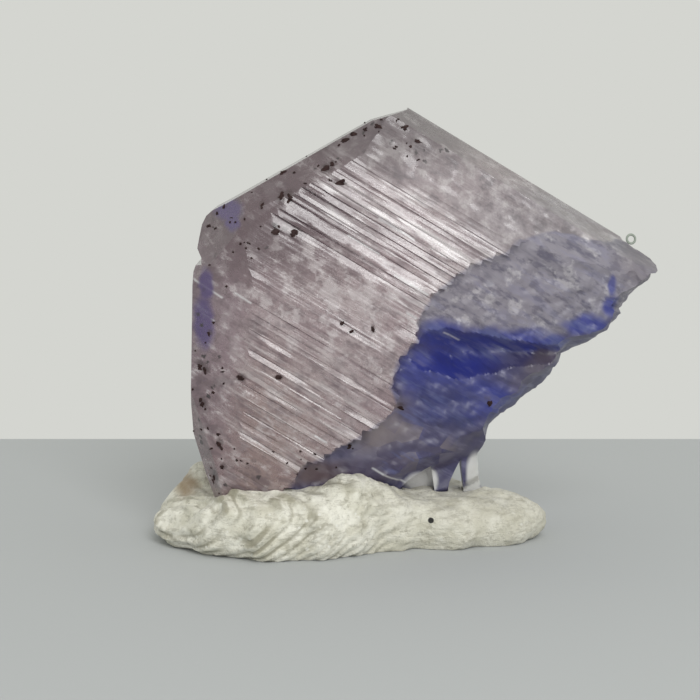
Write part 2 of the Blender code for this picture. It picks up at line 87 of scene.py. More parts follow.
# Where the break starts on the front face and on the back, in mm: (along, across), top to bottom.
FRONT_BREAK_LINE = [
    (15.6, 9.6), (14.2, 8.5), (11.9, 7.7), (10.95, 6.75), (10.69, 5.92), (10.1, 5.4), (9.68, 4.67),
    (9.3, 3.8), (9.05, 2.88), (9.09, 1.96), (9.43, 1.09), (9.19, 0.09), (9.54, -1.03), (10.31, -1.52), (9.8, -2.7),
    (9.24, -3.73), (8.7, -4.8), (8.29, -5.45), (8.1, -6.64), (7.4, -8.6), (7.4, -10.4)]
BACK_BREAK_LINE = [
    (16.3, 9.6), (14.8, 8.0), (13.4, 6.4), (13.7, 4.6), (12.2, 3.0), (11.8, 0.9), (10.6, -0.6), (10.9, -2.6),
    (9.9, -4.6), (9.4, -7.2), (9.4, -10.4)]
BREAK_FAR_SIDE = 17.6

# The pocket beside the leg, whose floor shows as a pale pane, in mm: its outline, its floor and its roof.
PANE_OUTLINE = [(12.25, -4.75), (12.42, -4.2), (12.9, -3.2), (13.6, -4.05), (14.0, -4.75)]
PANE_FLOOR = -0.25
PANE_ROOF = 3.2

# The grainy shelf of the break in mm: height at a place, rise per mm each way, grains as (size, height).
SHELF_PLACE = (9.0, 6.0)
SHELF_HEIGHT = 2.62
SHELF_RISE = (-0.13, 0.04)
SHELF_GRAINS = [(0.8, 0.15), (0.36, 0.08), (0.17, 0.03)]

# The shell-like scoop in mm: it opens from its start along a turned axis, and narrows towards the edge.
SCOOP_START = (9.2, 0.3)
SCOOP_TURN = math.radians(30.5)
SCOOP_HALF_WIDTH = 1.55
SCOOP_NARROWING = 0.16
SCOOP_LEAST_HALF_WIDTH = 0.45
SCOOP_FLOOR = 0.55
SCOOP_CLIMB = 0.1
SCOOP_HEAD = 2.1
SCOOP_DEPTH = 1.7
SCOOP_RIPPLE = 0.16
SCOOP_WAVES = (0.8, 0.9)
SCOOP_BEND = (1.6, 0.4)
SCOOP_FINE = 0.03

# The stepped facets under the scoop in mm, falling along a turned axis to their lowest level.
LOWER_START = (8.2, -6.6)
LOWER_TURN = math.radians(-29)
LOWER_LEAD = 0.25
LOWER_TOP = 2.8
LOWER_FALL = 0.8
LOWER_FLOOR = -0.3
LOWER_BEND = (3.2, 0.45)
LOWER_STEP = 0.5
LOWER_STEP_WAVES = 0.5
LOWER_SPUR = 0.3
LOWER_SPUR_WAVES = (0.3, 0.3)
LOWER_FINE = (0.06, 0.02)

# The back of the break in mm: two broad shells that rise along a turned axis to a flat floor.
BACK_START = (10.2, -6.0)
BACK_TURN = math.radians(-11)
BACK_BOTTOM = -3.35
BACK_RISE = 0.7
BACK_FLOOR = -1.35
BACK_SHELL = 0.35
BACK_SHELL_WAVES = (0.5, 0.16)
BACK_RIPPLE = 0.12
BACK_RIPPLE_WAVES = (1.3, 0.25)
BACK_GRAINS = [(0.7, 0.12), (0.22, 0.05)]
FLOOR_GRAINS = [(0.6, 0.08)]

# How far the ends of the front's ledges lie before and behind the break line, in mm.
LEDGE_END = 0.17

# How far the edges of the scoop and the lower facets wander, in mm.
BREAK_STRAY = 0.3

# The broken right edge in mm: a wandering ridge behind the middle, from which its walls lean in both ways.
EDGE_NEAREST = 12.0
EDGE_RIDGE = -0.7
EDGE_WANDER = (1.5, 0.9)
EDGE_LEAN = 0.3
EDGE_LEAN_CHANGE = (1.3, 0.8)
EDGE_CHIPS = (0.8, 0.25)
EDGE_LAYER = 0.3
EDGE_LAYER_SPAN = (-3.43, 2.87)
EDGE_FADE_LOW = (-1.4, -0.4)
EDGE_FADE_HIGH = (8.2, 8.6)

# Flat faces cut on the blank, in mm: a point (along, across, front) and the way the face looks.
FLATS = [
    ((8.0, 8.95, -0.6), (0.0, 1.0, 0.0)),
    ((8.0, 8.95, -0.25), (0.0, 0.949, 0.316)),
    ((8.0, 8.95, -0.95), (0.0, 0.534, -0.845)),
    ((1.13, 3.6, 2.25), (-0.72, 0.44, 0.62)),
    ((1.13, 3.6, -1.9), (-0.70, 0.43, -0.60)),
    ((1.6, -3.45, 2.25), (-0.78, -0.47, 0.52)),
    ((1.6, -3.45, -1.6), (-0.66, -0.40, -0.68)),
    ((2.3, 2.04, 3.1), (-0.28, 0.17, 0.945)),
    ((3.2, -1.47, 3.1), (-0.30, -0.18, 0.936)),
    ((2.5, 8.25, 0.4), (-0.62, 0.42, 0.72)),
    ((5.2, -8.1, 1.9), (-0.62, -0.62, 0.55)),
    ((-0.27, 0.79, 1.0), (-0.86, 0.0, 0.6)),
]

# The blank that the crystal is cut from in mm, and how finely its cutters are divided.
BLANK_CENTRE = (8.3, -0.3, 0)
BLANK_SIZE = (19, 19.4, 9)
SLAB_HALF_DEPTH = 5.5
RELIEF_SPAN = ((-1.4, 17.4), (-10.2, 9.4))
RELIEF_ROOF = 7.0
FRONT_CELL = (0.25, 0.05)
BACK_CELL = (0.35, 0.09)
BREAK_SPAN = ((7.2, 17.8), (-10.6, 9.8))
BREAK_ROOF = 5.0
FRONT_BREAK_CELL = (0.085, 0.085)
BACK_BREAK_CELL = (0.12, 0.12)
EDGE_PIECE = 0.16
EDGE_ROUGHNESS = 0.09
STEP_SEED = 6
WELD = 0.002 * MM
OUTLINE_WELD = 0.001 * MM
CUT_SNAP = 1e-7
CRYSTAL_SMOOTH = math.radians(24)

# Pieces are made coarser while the scene is tried out.
COARSE = 1.0


def on_plane(u, v, depth=-3.0):
    """Where a pixel of the photograph lies on the plane this many mm behind the crystal's middle."""
    sideways = (u - PHOTO_MIDDLE) / FOCAL_PIXELS
    upwards = (PHOTO_MIDDLE - v) / FOCAL_PIXELS
    rise, level = math.sin(CAMERA_RISE), math.cos(CAMERA_RISE)
    back = depth * MM
    up = (upwards * (CAMERA_DISTANCE + back * level) - back * rise) / (level + upwards * rise)
    reach = CAMERA_DISTANCE + back * level - up * rise
    return AIM + Vector((sideways * reach, back, up))


def nothing_selected():
    if bpy.context.mode != "OBJECT":
        bpy.ops.object.mode_set(mode="OBJECT")
    bpy.ops.object.select_all(action="DESELECT")


def take_up(piece):
    """Makes the piece the only one selected, and active."""
    nothing_selected()
    piece.select_set(True)
    bpy.context.view_layer.objects.active = piece
    return piece


def fix_place(piece):
    take_up(piece)
    bpy.ops.object.transform_apply(location=True, rotation=True, scale=True)


def apply_all(piece):
    take_up(piece)
    for modifier in list(piece.modifiers):
        bpy.ops.object.modifier_apply(modifier=modifier.name)


def slice_off(piece, point, looks):
    """Cuts a flat face in edit mode and takes away what lies beyond it."""
    take_up(piece)
    bpy.ops.object.mode_set(mode="EDIT")
    bpy.ops.mesh.select_all(action="SELECT")
    bpy.ops.mesh.bisect(
        plane_co=Vector(point) * MM, plane_no=Vector(looks).normalized(), use_fill=True, clear_outer=True,
        threshold=CUT_SNAP)
    bpy.ops.object.mode_set(mode="OBJECT")


def score(piece, point, looks):
    """Adds a row of edges where a plane crosses the piece."""
    take_up(piece)
    bpy.ops.object.mode_set(mode="EDIT")
    bpy.ops.mesh.select_all(action="SELECT")
    bpy.ops.mesh.bisect(plane_co=Vector(point) * MM, plane_no=Vector(looks), threshold=CUT_SNAP)
    bpy.ops.object.mode_set(mode="OBJECT")


def cut_with(piece, cutter, operation):
    """Cuts a piece with another, which is used up."""
    take_up(piece)
    modifier = piece.modifiers.new("cut", "BOOLEAN")
    modifier.operation = operation
    modifier.object = cutter
    modifier.solver = "EXACT"
    bpy.ops.object.modifier_apply(modifier=modifier.name)
    spent = cutter.data
    bpy.data.objects.remove(cutter, do_unlink=True)
    bpy.data.meshes.remove(spent)


def flat_outline(name, points, low, high):
    """A flat outline in mm, filled and extruded from one height to the other."""
    curve = bpy.data.curves.new(name, "CURVE")
    curve.dimensions = "2D"
    curve.fill_mode = "BOTH"
    curve.extrude = (high - low) / 2 * MM
    spline = curve.splines.new("POLY")
    spline.points.add(len(points) - 1)
    for point, (x, y) in zip(spline.points, points):
        point.co = (x * MM, y * MM, 0.0, 1.0)
    spline.use_cyclic_u = True
    piece = bpy.data.objects.new(name, curve)
    piece.location.z = (low + high) / 2 * MM
    bpy.context.scene.collection.objects.link(piece)
    take_up(piece)
    bpy.ops.object.convert(target="MESH")
    piece = bpy.context.object
    fix_place(piece)
    bpy.ops.object.mode_set(mode="EDIT")
    bpy.ops.mesh.select_all(action="SELECT")
    bpy.ops.mesh.remove_doubles(threshold=OUTLINE_WELD)
    bpy.ops.mesh.normals_make_consistent(inside=False)
    bpy.ops.object.mode_set(mode="OBJECT")
    return piece


def relief_block(name, span, cell, height, roof):
    """A block with one side raised by a height formula and its other side flat, all in mm."""
    (low_along, high_along), (low_across, high_across) = span
    count_along = round((high_along - low_along) / (cell[0] * COARSE))
    count_across = round((high_across - low_across) / (cell[1] * COARSE))
    nothing_selected()
    bpy.ops.mesh.primitive_grid_add(x_subdivisions=count_along, y_subdivisions=count_across, size=1)
    block = bpy.context.object
    block.name = name
    for vert in block.data.vertices:
        along = low_along + (vert.co.x + 0.5) * (high_along - low_along)
        across = low_across + (vert.co.y + 0.5) * (high_across - low_across)
        vert.co = Vector((along, across, height(along, across))) * MM
    bpy.ops.object.mode_set(mode="EDIT")
    bpy.ops.mesh.select_all(action="SELECT")
    bpy.ops.mesh.extrude_region()
    bpy.ops.transform.resize(value=(1, 1, 0), center_override=(0, 0, roof * MM))
    bpy.ops.mesh.select_all(action="SELECT")
    bpy.ops.mesh.normals_make_consistent(inside=False)
    bpy.ops.object.mode_set(mode="OBJECT")
    return block


def on_polyline(points, x):
    """The height of a polyline, and past its end that of its last point."""
    for (x0, y0), (x1, y1) in zip(points, points[1:]):
        if x <= x1:
            return y0 + (y1 - y0) * (x - x0) / (x1 - x0)
    return points[-1][1]


def grain(along, across, size, seed):
    """Smooth noise with grains of one size, between about -1 and 1."""
    return noise.noise(Vector((along / size, across / size, seed)))


def triangle_wave(x):
    """A wave of straight slopes: one at whole numbers, nothing midway between them."""
    return abs((x % 1.0) * 2.0 - 1.0)


def rising(x, low, high):
    """Nothing up to the low value, one past the high one, and smooth between them."""
    share = min(1.0, max(0.0, (x - low) / (high - low)))
    return share * share * (3 - 2 * share)


def ledge_places(low, high, spacing, seed):
    """Where growth ledges lie across a face, and how high each one is as a share of the highest."""
    rng = random.Random(seed)
    places = [(low, rng.uniform(0.3, 1.0))]
    while places[-1][0] < high:
        places.append((places[-1][0] + rng.uniform(*spacing), rng.uniform(0.25, 1.0)))
    return places


class Ledges:
    """Parallel growth ledges that come and go along the prism: long treads and short risers."""

    def __init__(self, low, high, spacing, tallest, run, seed):
        self.places = ledge_places(low, high, spacing, seed)
        self.tallest = tallest
        self.run = run
        self.seed = seed
        self.number = 0

    def height(self, along, across):
        places = self.places
        while self.number < len(places) - 2 and places[self.number + 1][0] <= across:
            self.number += 1
        while self.number > 0 and places[self.number][0] > across:
            self.number -= 1
        start, share = places[self.number]
        end = places[self.number + 1][0]
        present = noise.noise(Vector((along / self.run, self.number * 3.7, self.seed)))
        amount = rising(present, -0.25, 0.2)
        return self.tallest * share * amount * (0.5 - (across - start) / (end - start))


FRONT_LEDGES = Ledges(-10.0, 6.5, (0.16, 0.5), 0.16, 3.4, 41)
FINE_LEDGES = Ledges(-10.0, 7.0, (0.08, 0.2), 0.05, 1.7, 7)
BACK_LEDGES = Ledges(-10.0, 6.5, (0.35, 1.0), 0.16, 5.0, 23)


# Where the front face is striated in mm across it: where each zone begins and where it ends.
UPPER_STREAKS = ((1.9, 2.6), (5.6, 6.3))
LOWER_STREAKS = ((-6.6, -5.6), (-0.9, -0.2))
LOWER_STREAK_SHARE = 0.75
LEAST_STREAK_SHARE = 0.35

# The frosty upper zone of the front in mm: where it begins across the face, and its crust's two heights.
FROST_START = (6.1, 6.8)
CRUST_HEIGHTS = (0.05, 0.045)
FACE_TILT = 0.07
FACE_PATCHES = 0.05
BACK_WAVES = 0.06
BACK_FINE_SHARE = 0.6


def streak_share(across):
    """How strongly the front face is striated at a place."""
    upper = rising(across, *UPPER_STREAKS[0]) * (1 - rising(across, *UPPER_STREAKS[1]))
    lower = rising(across, *LOWER_STREAKS[0]) * (1 - rising(across, *LOWER_STREAKS[1]))
    return max(upper, LOWER_STREAK_SHARE * lower, LEAST_STREAK_SHARE)


def front_height(along, across):
    """The front face, with ledges below and a crust above."""
    base = on_polyline(FRONT_FACE, across)
    frosty = rising(across, *FROST_START)
    share = streak_share(across) * (1 - frosty)
    ledges = share * (FRONT_LEDGES.height(along, across) + FINE_LEDGES.height(along, across))
    tilt = FACE_TILT * grain(along, across * 2.2, 3.2, 31.0) * (1 - frosty)
    patches = (1 - share) * FACE_PATCHES * grain(along, across, 0.7, 19.0)
    coarse, fine = CRUST_HEIGHTS
    crust = frosty * (coarse * grain(along, across, 0.55, 3.0) + fine * grain(along, across, 0.24, 6.0))
    return base + ledges + tilt + patches + crust


def back_height(along, across):
    """The back face, with broader ledges."""
    base = on_polyline(BACK_FACE, across)
    ledges = BACK_LEDGES.height(along, across) + BACK_FINE_SHARE * FINE_LEDGES.height(along, across)
    return base - ledges + BACK_WAVES * grain(along, across, 2.6, 77.0)


def grains(along, across, layers, seed):
    """Several sizes of grain together, given as (size, height)."""
    return sum(
        height * grain(along, across, size, seed + layer) for layer, (size, height) in enumerate(layers))


def turned(along, across, start, turn):
    """Distances from a place along and across an axis that is turned from the prism's."""
    far = along - start[0]
    wide = across - start[1]
    return far * math.cos(turn) + wide * math.sin(turn), wide * math.cos(turn) - far * math.sin(turn)


def shelf_height(along, across):
    """The grainy shelf below the upper edge."""
    slope = SHELF_RISE[0] * (along - SHELF_PLACE[0]) + SHELF_RISE[1] * (across - SHELF_PLACE[1])
    return SHELF_HEIGHT + slope + grains(along, across, SHELF_GRAINS, 3.0)


def scoop_height(along, across):
    """The shell-like scoop, rippled across its length."""
    lengthwise, sideways = turned(along, across, SCOOP_START, SCOOP_TURN)
    half_width = max(SCOOP_HALF_WIDTH - SCOOP_NARROWING * lengthwise, SCOOP_LEAST_HALF_WIDTH)
    floor = SCOOP_FLOOR + SCOOP_CLIMB * lengthwise + max(0.0, SCOOP_HEAD - lengthwise)
    bend = SCOOP_BEND[1] * grain(along, across, SCOOP_BEND[0], 5.0)
    ripple = triangle_wave(lengthwise * SCOOP_WAVES[0] + sideways * SCOOP_WAVES[1] + bend)
    fine = SCOOP_FINE * triangle_wave(lengthwise * 2.3 + sideways * 2.9 + grain(along, across, 1.1, 25.0))
    return floor + SCOOP_DEPTH * (sideways / half_width) ** 2 + SCOOP_RIPPLE * ripple + fine


def lower_height(along, across):
    """Stepped facets that fall from the front face to the lower outline."""
    fallen, sideways = turned(along, across, LOWER_START, LOWER_TURN)
    down = fallen + LOWER_LEAD
    bend = LOWER_BEND[1] * grain(along, across, LOWER_BEND[0], 11.0)
    step = LOWER_STEP * triangle_wave(down * LOWER_STEP_WAVES + bend)
    spur = LOWER_SPUR * triangle_wave(sideways * LOWER_SPUR_WAVES[0] + down * LOWER_SPUR_WAVES[1] + bend)
    lowest = LOWER_FLOOR + grains(along, across, FLOOR_GRAINS, 4.0)
    fine = LOWER_FINE[0] * triangle_wave(down * 1.9 + sideways * 0.5 + 2 * bend)
    fine += LOWER_FINE[1] * grain(along, across, 0.6, 33.0)
    return max(LOWER_TOP - LOWER_FALL * down + step + spur + fine, lowest)


def front_break_height(along, across):
    """The three forms of the break, whose shared edges wander."""
    stray = BREAK_STRAY * grain(along, across, 1.6, 91.0)
    sway = BREAK_STRAY * grain(along, across, 1.3, 97.0)
    scoop = scoop_height(along + stray, across + sway)
    return min(shelf_height(along, across), scoop, lower_height(along + sway, across + stray))


def back_break_height(along, across):
    """The break seen from behind."""
    inward = turned(along, across, BACK_START, BACK_TURN)[0]
    shell = BACK_SHELL * triangle_wave(inward * BACK_SHELL_WAVES[0] + across * BACK_SHELL_WAVES[1])
    bend = grain(along, across, 1.9, 17.0)
    ripple = BACK_RIPPLE * triangle_wave(inward * BACK_RIPPLE_WAVES[0] + across * BACK_RIPPLE_WAVES[1] + bend)
    rise = BACK_BOTTOM + BACK_RISE * inward + shell + ripple + grains(along, across, BACK_GRAINS, 9.0)
    return min(rise, BACK_FLOOR + grains(along, across, FLOOR_GRAINS, 12.0))


def edge_shift(across, front):
    """How far the wall of the broken edge leans in at a place, with its chips."""
    ridge = EDGE_RIDGE + EDGE_WANDER[1] * grain(across, 0.0, EDGE_WANDER[0], 61.0)
    side = math.copysign(1.0, front - ridge)
    lean = EDGE_LEAN * (1 + EDGE_LEAN_CHANGE[1] * grain(across, side, EDGE_LEAN_CHANGE[0], 67.0))
    chips = EDGE_CHIPS[1] * grain(across, front, EDGE_CHIPS[0], 71.0)
    fade = rising(across, *EDGE_FADE_LOW) * (1 - rising(across, *EDGE_FADE_HIGH))
    return fade * (chips * min(1.0, abs(front - ridge)) - lean * abs(front - ridge))


def roughened(points, step, amount, seed):
    """An outline broken into short lengths that wander a little above the leg and the foot."""
    rough = []
    for (x0, y0), (x1, y1) in zip(points, points[1:]):
        pieces = max(1, round(math.hypot(x1 - x0, y1 - y0) / step))
        for number in range(pieces):
            share = number / pieces
            x = x0 + (x1 - x0) * share
            y = y0 + (y1 - y0) * share
            wander = amount if number > 0 and min(y0, y1) > EDGE_FADE_LOW[0] else 0.0
            rough.append((x + wander * grain(x, y, 0.3, seed), y + wander * grain(x, y, 0.3, seed + 5)))
    rough.append(points[-1])
    return rough


def stepped(line, seed):
    """A break line whose ledges end one after another, given from top to bottom."""
    rng = random.Random(seed)
    points = [line[0]]
    for (x0, y0), (x1, y1) in zip(line[1:], line[2:]):
        steps = max(1, round((y0 - y1) / rng.uniform(0.2, 0.42)))
        for number in range(steps):
            top, bottom = number / steps, (number + 1) / steps
            shift = rng.uniform(-LEDGE_END, LEDGE_END)
            middle = x0 + (x1 - x0) * (top + bottom) / 2 + shift
            points.append((middle, y0 + (y1 - y0) * (top + 0.06)))
            points.append((middle + 0.03, y0 + (y1 - y0) * (bottom - 0.06)))
    points.append(line[-1])
    return points


def make_outline_block():
    """The crystal's outline as a block, with the broken edge's wall leaning in."""
    broken = roughened(BROKEN_END, EDGE_PIECE, EDGE_ROUGHNESS, 50.0)
    block = flat_outline("outline_block", CHISEL_END + broken, -SLAB_HALF_DEPTH, SLAB_HALF_DEPTH)
    deepest, nearest = EDGE_LAYER_SPAN
    layers = round((nearest - deepest) / (EDGE_LAYER * COARSE))
    for number in range(layers + 1):
        score(block, (0, 0, deepest + number * (nearest - deepest) / layers), (0, 0, 1))
    for vert in block.data.vertices:
        along, across, front = vert.co / MM
        if along > EDGE_NEAREST:
            vert.co.x += edge_shift(across, front) * MM
    return block


def make_break(name, line, height, roof, cell):
    """What is broken off on one side: from the break line to past the tip."""
    outline = line + [(BREAK_FAR_SIDE, line[-1][1]), (BREAK_FAR_SIDE, line[0][1])]
    fence = flat_outline(name + "_fence", outline, -SLAB_HALF_DEPTH, SLAB_HALF_DEPTH)
    block = relief_block(name, BREAK_SPAN, cell, height, roof)
    cut_with(block, fence, "INTERSECT")
    return block


def mended(piece):
    """Merges the points that fall together where the cuts meet."""
    take_up(piece)
    bpy.ops.object.mode_set(mode="EDIT")
    bpy.ops.mesh.select_all(action="SELECT")
    bpy.ops.mesh.remove_doubles(threshold=WELD)
    bpy.ops.mesh.dissolve_degenerate(threshold=WELD)
    bpy.ops.object.mode_set(mode="OBJECT")


def make_crystal():
    """The prism cut from a blank: its flat faces first, then its outline, its relief and its break."""
    nothing_selected()
    centre, size = ([length * MM for length in row] for row in (BLANK_CENTRE, BLANK_SIZE))
    bpy.ops.mesh.primitive_cube_add(size=1, location=centre, scale=size)
    crystal = bpy.context.object
    crystal.name = "crystal"
    fix_place(crystal)
    for point, looks in FLATS:
        slice_off(crystal, point, looks)
    cut_with(crystal, make_outline_block(), "INTERSECT")
    for name, cell, height, roof in (
            ("front_relief", FRONT_CELL, front_height, -RELIEF_ROOF),
            ("back_relief", BACK_CELL, back_height, RELIEF_ROOF)):
        cut_with(crystal, relief_block(name, RELIEF_SPAN, cell, height, roof), "INTERSECT")
    front_line = stepped(FRONT_BREAK_LINE, STEP_SEED)
    for name, line, height, roof, cell in (
            ("front_break", front_line, front_break_height, BREAK_ROOF, FRONT_BREAK_CELL),
            ("back_break", BACK_BREAK_LINE, back_break_height, -BREAK_ROOF, BACK_BREAK_CELL)):
        cut_with(crystal, make_break(name, line, height, roof, cell), "DIFFERENCE")
    cut_with(crystal, flat_outline("pane_pocket", PANE_OUTLINE, PANE_FLOOR, PANE_ROOF), "DIFFERENCE")
    mended(crystal)
    crystal.data.transform(PRISM_FRAME)
    take_up(crystal)
    bpy.ops.object.shade_smooth_by_angle(angle=CRYSTAL_SMOOTH)
    return crystal


# Mounting putty in mm, about the picture's middle: its plan as (angle in degrees, reach), height and lumps.
PUTTY_ORIGIN = Vector((TIP.x + 6.04 * MM, TIP.y, 0.0))
PUTTY_CENTRE = (0.1, -0.1)
PUTTY_PLAN = [
    (0, 8.2), (25, 6.5), (55, 5.3), (90, 4.7), (125, 5.9), (150, 7.6), (172, 8.3), (188, 8.2), (205, 7.3),
    (228, 6.1), (250, 4.7), (270, 3.9), (295, 3.2), (315, 3.6), (335, 5.6), (350, 7.6), (360, 8.2)]
PUTTY_HEIGHT = 1.3
PUTTY_SINK = 0.7
PUTTY_EDGE_POWER = 0.72
PUTTY_TOP_POWER = 0.8
LUMP_FEATHER = 3
PUTTY_LUMPS = [
    (-6.3, 2.1, 1.3, 1.2), (0.2, -2.4, 1.9, 1.15), (-4.2, -3.1, 2.3, 0.75), (6.6, 0.2, 1.1, 0.25),
    (-1.5, 3.6, 2.2, 0.7), (3.6, 3.2, 1.9, 0.35)]
# Waves and knobs of its surface in mm: size, height and shift of the noise.
PUTTY_SWELLS = [(1.7, 0.22, (0, 0, 0)), (0.8, 0.12, (7, 1, 3))]
PUTTY_KNOBS = [(0.36, 0.07, (1, 8, 2)), (0.17, 0.035, (0, 0, 0))]
PUTTY_VOXEL = 0.085
PUTTY_SMOOTH = math.radians(50)

# The finger ridges in mm: how far apart and how high they are.
FINGER_RIDGE = 0.46
RIDGE_HEIGHT = 0.14

# The socket in mm: the gap round the crystal, how high its tool reaches, and how finely it is remeshed.
SOCKET_GAP = 0.06
SOCKET_TOP = 4.6
SOCKET_VOXEL = 0.09

# Half a graphite flake's thickness in mm, and how many square pixels there are to a strewn one.
FLAKE_DEPTH = 0.035
FLECK_AREA = 110
FLAKE_SEED = 12

# The dust fibre in mm: the loop's radius and its own, and the pixel that it stands at.
FIBRE_LOOP = 0.18
FIBRE_THICKNESS = 0.05
FIBRE_PIXEL = (631, 239)


def putty_reach(angle):
    """How far the pad reaches from its middle in one direction, in mm."""
    degrees = math.degrees(angle) % 360
    for (a0, r0), (a1, r1) in zip(PUTTY_PLAN, PUTTY_PLAN[1:]):
        if degrees <= a1:
            return r0 + (r1 - r0) * rising(degrees, a0, a1)
    return PUTTY_PLAN[-1][1]


def finger_ridges(place):
    """Arched ridges left by fingers, strongest on the front left: how strong, and from -1 to 1."""
    bend = 0.5 * noise.noise(place / 2.6 + Vector((3, 0, 5)))
    across_ridge = -0.55 * place.x + 0.83 * (place.z - 0.7 * place.y) + 0.02 * place.x * place.x + bend
    strength = 0.2 + 0.8 * (1 - rising(place.x, -3.0, 3.5))
    patchy = max(0.0, 0.6 + 0.8 * noise.noise(place / 1.4 + Vector((9, 2, 1))))
    return strength * patchy, math.sin(2 * math.pi * across_ridge / FINGER_RIDGE)


def putty_point(direction):
    """Where a point of a unit ball goes on the pressed pad, in mm."""
    angle = math.atan2(direction.y, direction.x)
    flat = math.hypot(direction.x, direction.y)
    reach = putty_reach(angle) * flat ** PUTTY_EDGE_POWER
    x = PUTTY_CENTRE[0] + reach * math.cos(angle)
    y = PUTTY_CENTRE[1] + reach * math.sin(angle)
    z = PUTTY_HEIGHT * math.copysign(abs(direction.z) ** PUTTY_TOP_POWER, direction.z)
    if direction.z > 0:
        for lump_x, lump_y, radius, height in PUTTY_LUMPS:
            near = ((x - lump_x) ** 2 + (y - lump_y) ** 2) / radius ** 2
            z += height * math.exp(-near) * min(1.0, direction.z * LUMP_FEATHER)
    place = Vector((x, y, z))
    swell, knobs = (
        sum(height * noise.noise(place / size + Vector(shift)) for size, height, shift in rows)
        for rows in (PUTTY_SWELLS, PUTTY_KNOBS))
    strength, ridge = finger_ridges(place)
    return place + direction.normalized() * (swell + knobs + RIDGE_HEIGHT * strength * ridge)


def evened(piece, size):
    """Remeshes a piece evenly, which also makes overlapping shells one."""
    modifier = piece.modifiers.new("even", "REMESH")
    modifier.mode = "VOXEL"
    modifier.voxel_size = size * MM * COARSE
    apply_all(piece)


def socket_tool(crystal):
    """The crystal's sunken part, a little larger than it is."""
    tool = crystal.copy()
    tool.data = crystal.data.copy()
    tool.name = "socket_tool"
    bpy.context.scene.collection.objects.link(tool)
    slice_off(tool, (0, 0, SOCKET_TOP), (0, 0, 1))
    loosen = tool.modifiers.new("loosen", "DISPLACE")
    loosen.mid_level = 0
    loosen.strength = SOCKET_GAP * MM
    evened(tool, SOCKET_VOXEL)
    return tool


def make_putty(crystal):
    """The pressed pad: a ball pushed out to its plan, with a flat base and a socket for the crystal."""
    nothing_selected()
    segments, rings = round(360 / COARSE), round(96 / COARSE)
    bpy.ops.mesh.primitive_uv_sphere_add(segments=segments, ring_count=rings, radius=1)
    putty = bpy.context.object
    putty.name = "putty_pad"
    for vert in putty.data.vertices:
        place = putty_point(vert.co.copy()) + Vector((0, 0, PUTTY_SINK))
        vert.co = place * MM + PUTTY_ORIGIN
    evened(putty, PUTTY_VOXEL)
    cut_with(putty, socket_tool(crystal), "DIFFERENCE")
    slice_off(putty, (0, 0, 0), (0, 0, -1))
    # Painted shade for the troughs between the finger ridges, kept per point.
    crease_shades = putty.data.attributes.new("crease_shade", "FLOAT", "POINT")
    for vert, crease_shade in zip(putty.data.vertices, crease_shades.data):
        strength, ridge = finger_ridges((vert.co - PUTTY_ORIGIN) / MM - Vector((0, 0, PUTTY_SINK)))
        crease_shade.value = strength * max(0.0, -ridge)
    take_up(putty)
    bpy.ops.object.shade_smooth_by_angle(angle=PUTTY_SMOOTH)
    return putty


def make_fibre():
    """A loop of dust fibre standing on the upper edge near the right tip."""
    centre = on_plane(*FIBRE_PIXEL, -1.0)
    nothing_selected()
    bpy.ops.mesh.primitive_torus_add(
        major_segments=36, minor_segments=8, major_radius=FIBRE_LOOP * MM, minor_radius=FIBRE_THICKNESS * MM,
        location=centre, rotation=(math.radians(82), 0, math.radians(14)))
    fibre = bpy.context.object
    fibre.name = "dust_fibre"
    fix_place(fibre)
    bpy.ops.object.shade_smooth()
    return fibre


def make_flake(rng, place, looks, size):
    """One thin uneven flake of graphite, lying in the surface."""
    bpy.ops.mesh.primitive_ico_sphere_add(subdivisions=2, radius=1)
    flake = bpy.context.object
    shift = Vector((rng.uniform(0, 50), rng.uniform(0, 50), rng.uniform(0, 50)))
    for vert in flake.data.vertices:
        vert.co *= 1 + 0.9 * noise.noise(vert.co * 1.3 + shift)
    wide, high = size[0] * rng.uniform(0.7, 1.2), size[1] * rng.uniform(0.7, 1.2)
    turn = Matrix.Rotation(rng.uniform(-0.6, 0.6), 4, "Z")
    lie = looks.to_track_quat("Z", "Y").to_matrix().to_4x4()
    flatten = Matrix.Diagonal((wide, high, FLAKE_DEPTH * MM, 1))
    flake.data.transform(Matrix.Translation(place) @ lie @ turn @ flatten)
    return flake


def make_flakes(crystal):
    """Graphite flakes: the ones seen in the photograph, and small ones strewn near them."""
    rng = random.Random(FLAKE_SEED)
    wanted = []
    for u, v, half_width, half_height in GRAPHITE_SPECKS:
        for number in range(2):
            sideways = rng.uniform(-0.6, 0.6) * half_width * number
            upwards = rng.uniform(-0.8, 0.8) * half_height * number
            wanted.append(
                ((u + sideways, v + upwards), (half_width / (1.6 + number), half_height / (1.6 + number))))
    for u, v, half_width, half_height in FLECKED:
        for _ in range(round(half_width * half_height / FLECK_AREA)):
            at = (rng.gauss(u, half_width * 0.5), rng.gauss(v, half_height * 0.5))
            wanted.append((at, (rng.uniform(0.7, 2.0), rng.uniform(0.6, 1.5))))
    eye = AIM + Vector((0, -math.cos(CAMERA_RISE), math.sin(CAMERA_RISE))) * CAMERA_DISTANCE
    surface = BVHTree.FromObject(crystal, bpy.context.evaluated_depsgraph_get())
    nothing_selected()
    flakes = []
    for (u, v), (half_width, half_height) in wanted:
        place, looks, _, _ = surface.ray_cast(eye, (on_plane(u, v) - eye).normalized())
        if place is not None:
            size = (half_width * MM / PIXELS_PER_MM, half_height * MM / PIXELS_PER_MM)
            flakes.append(make_flake(rng, place, looks, size))
    nothing_selected()
    for flake in flakes:
        flake.select_set(True)
    bpy.context.view_layer.objects.active = flakes[0]
    bpy.ops.object.join()
    joined = bpy.context.object
    joined.name = "graphite_flakes"
    return joined


def srgb(red, green, blue):
    """A colour as it looks on a screen, as the linear values that a shader takes."""
    def linear(value):
        value /= 255
        return value / 12.92 if value <= 0.04045 else ((value + 0.055) / 1.055) ** 2.4
    return (linear(red), linear(green), linear(blue), 1.0)


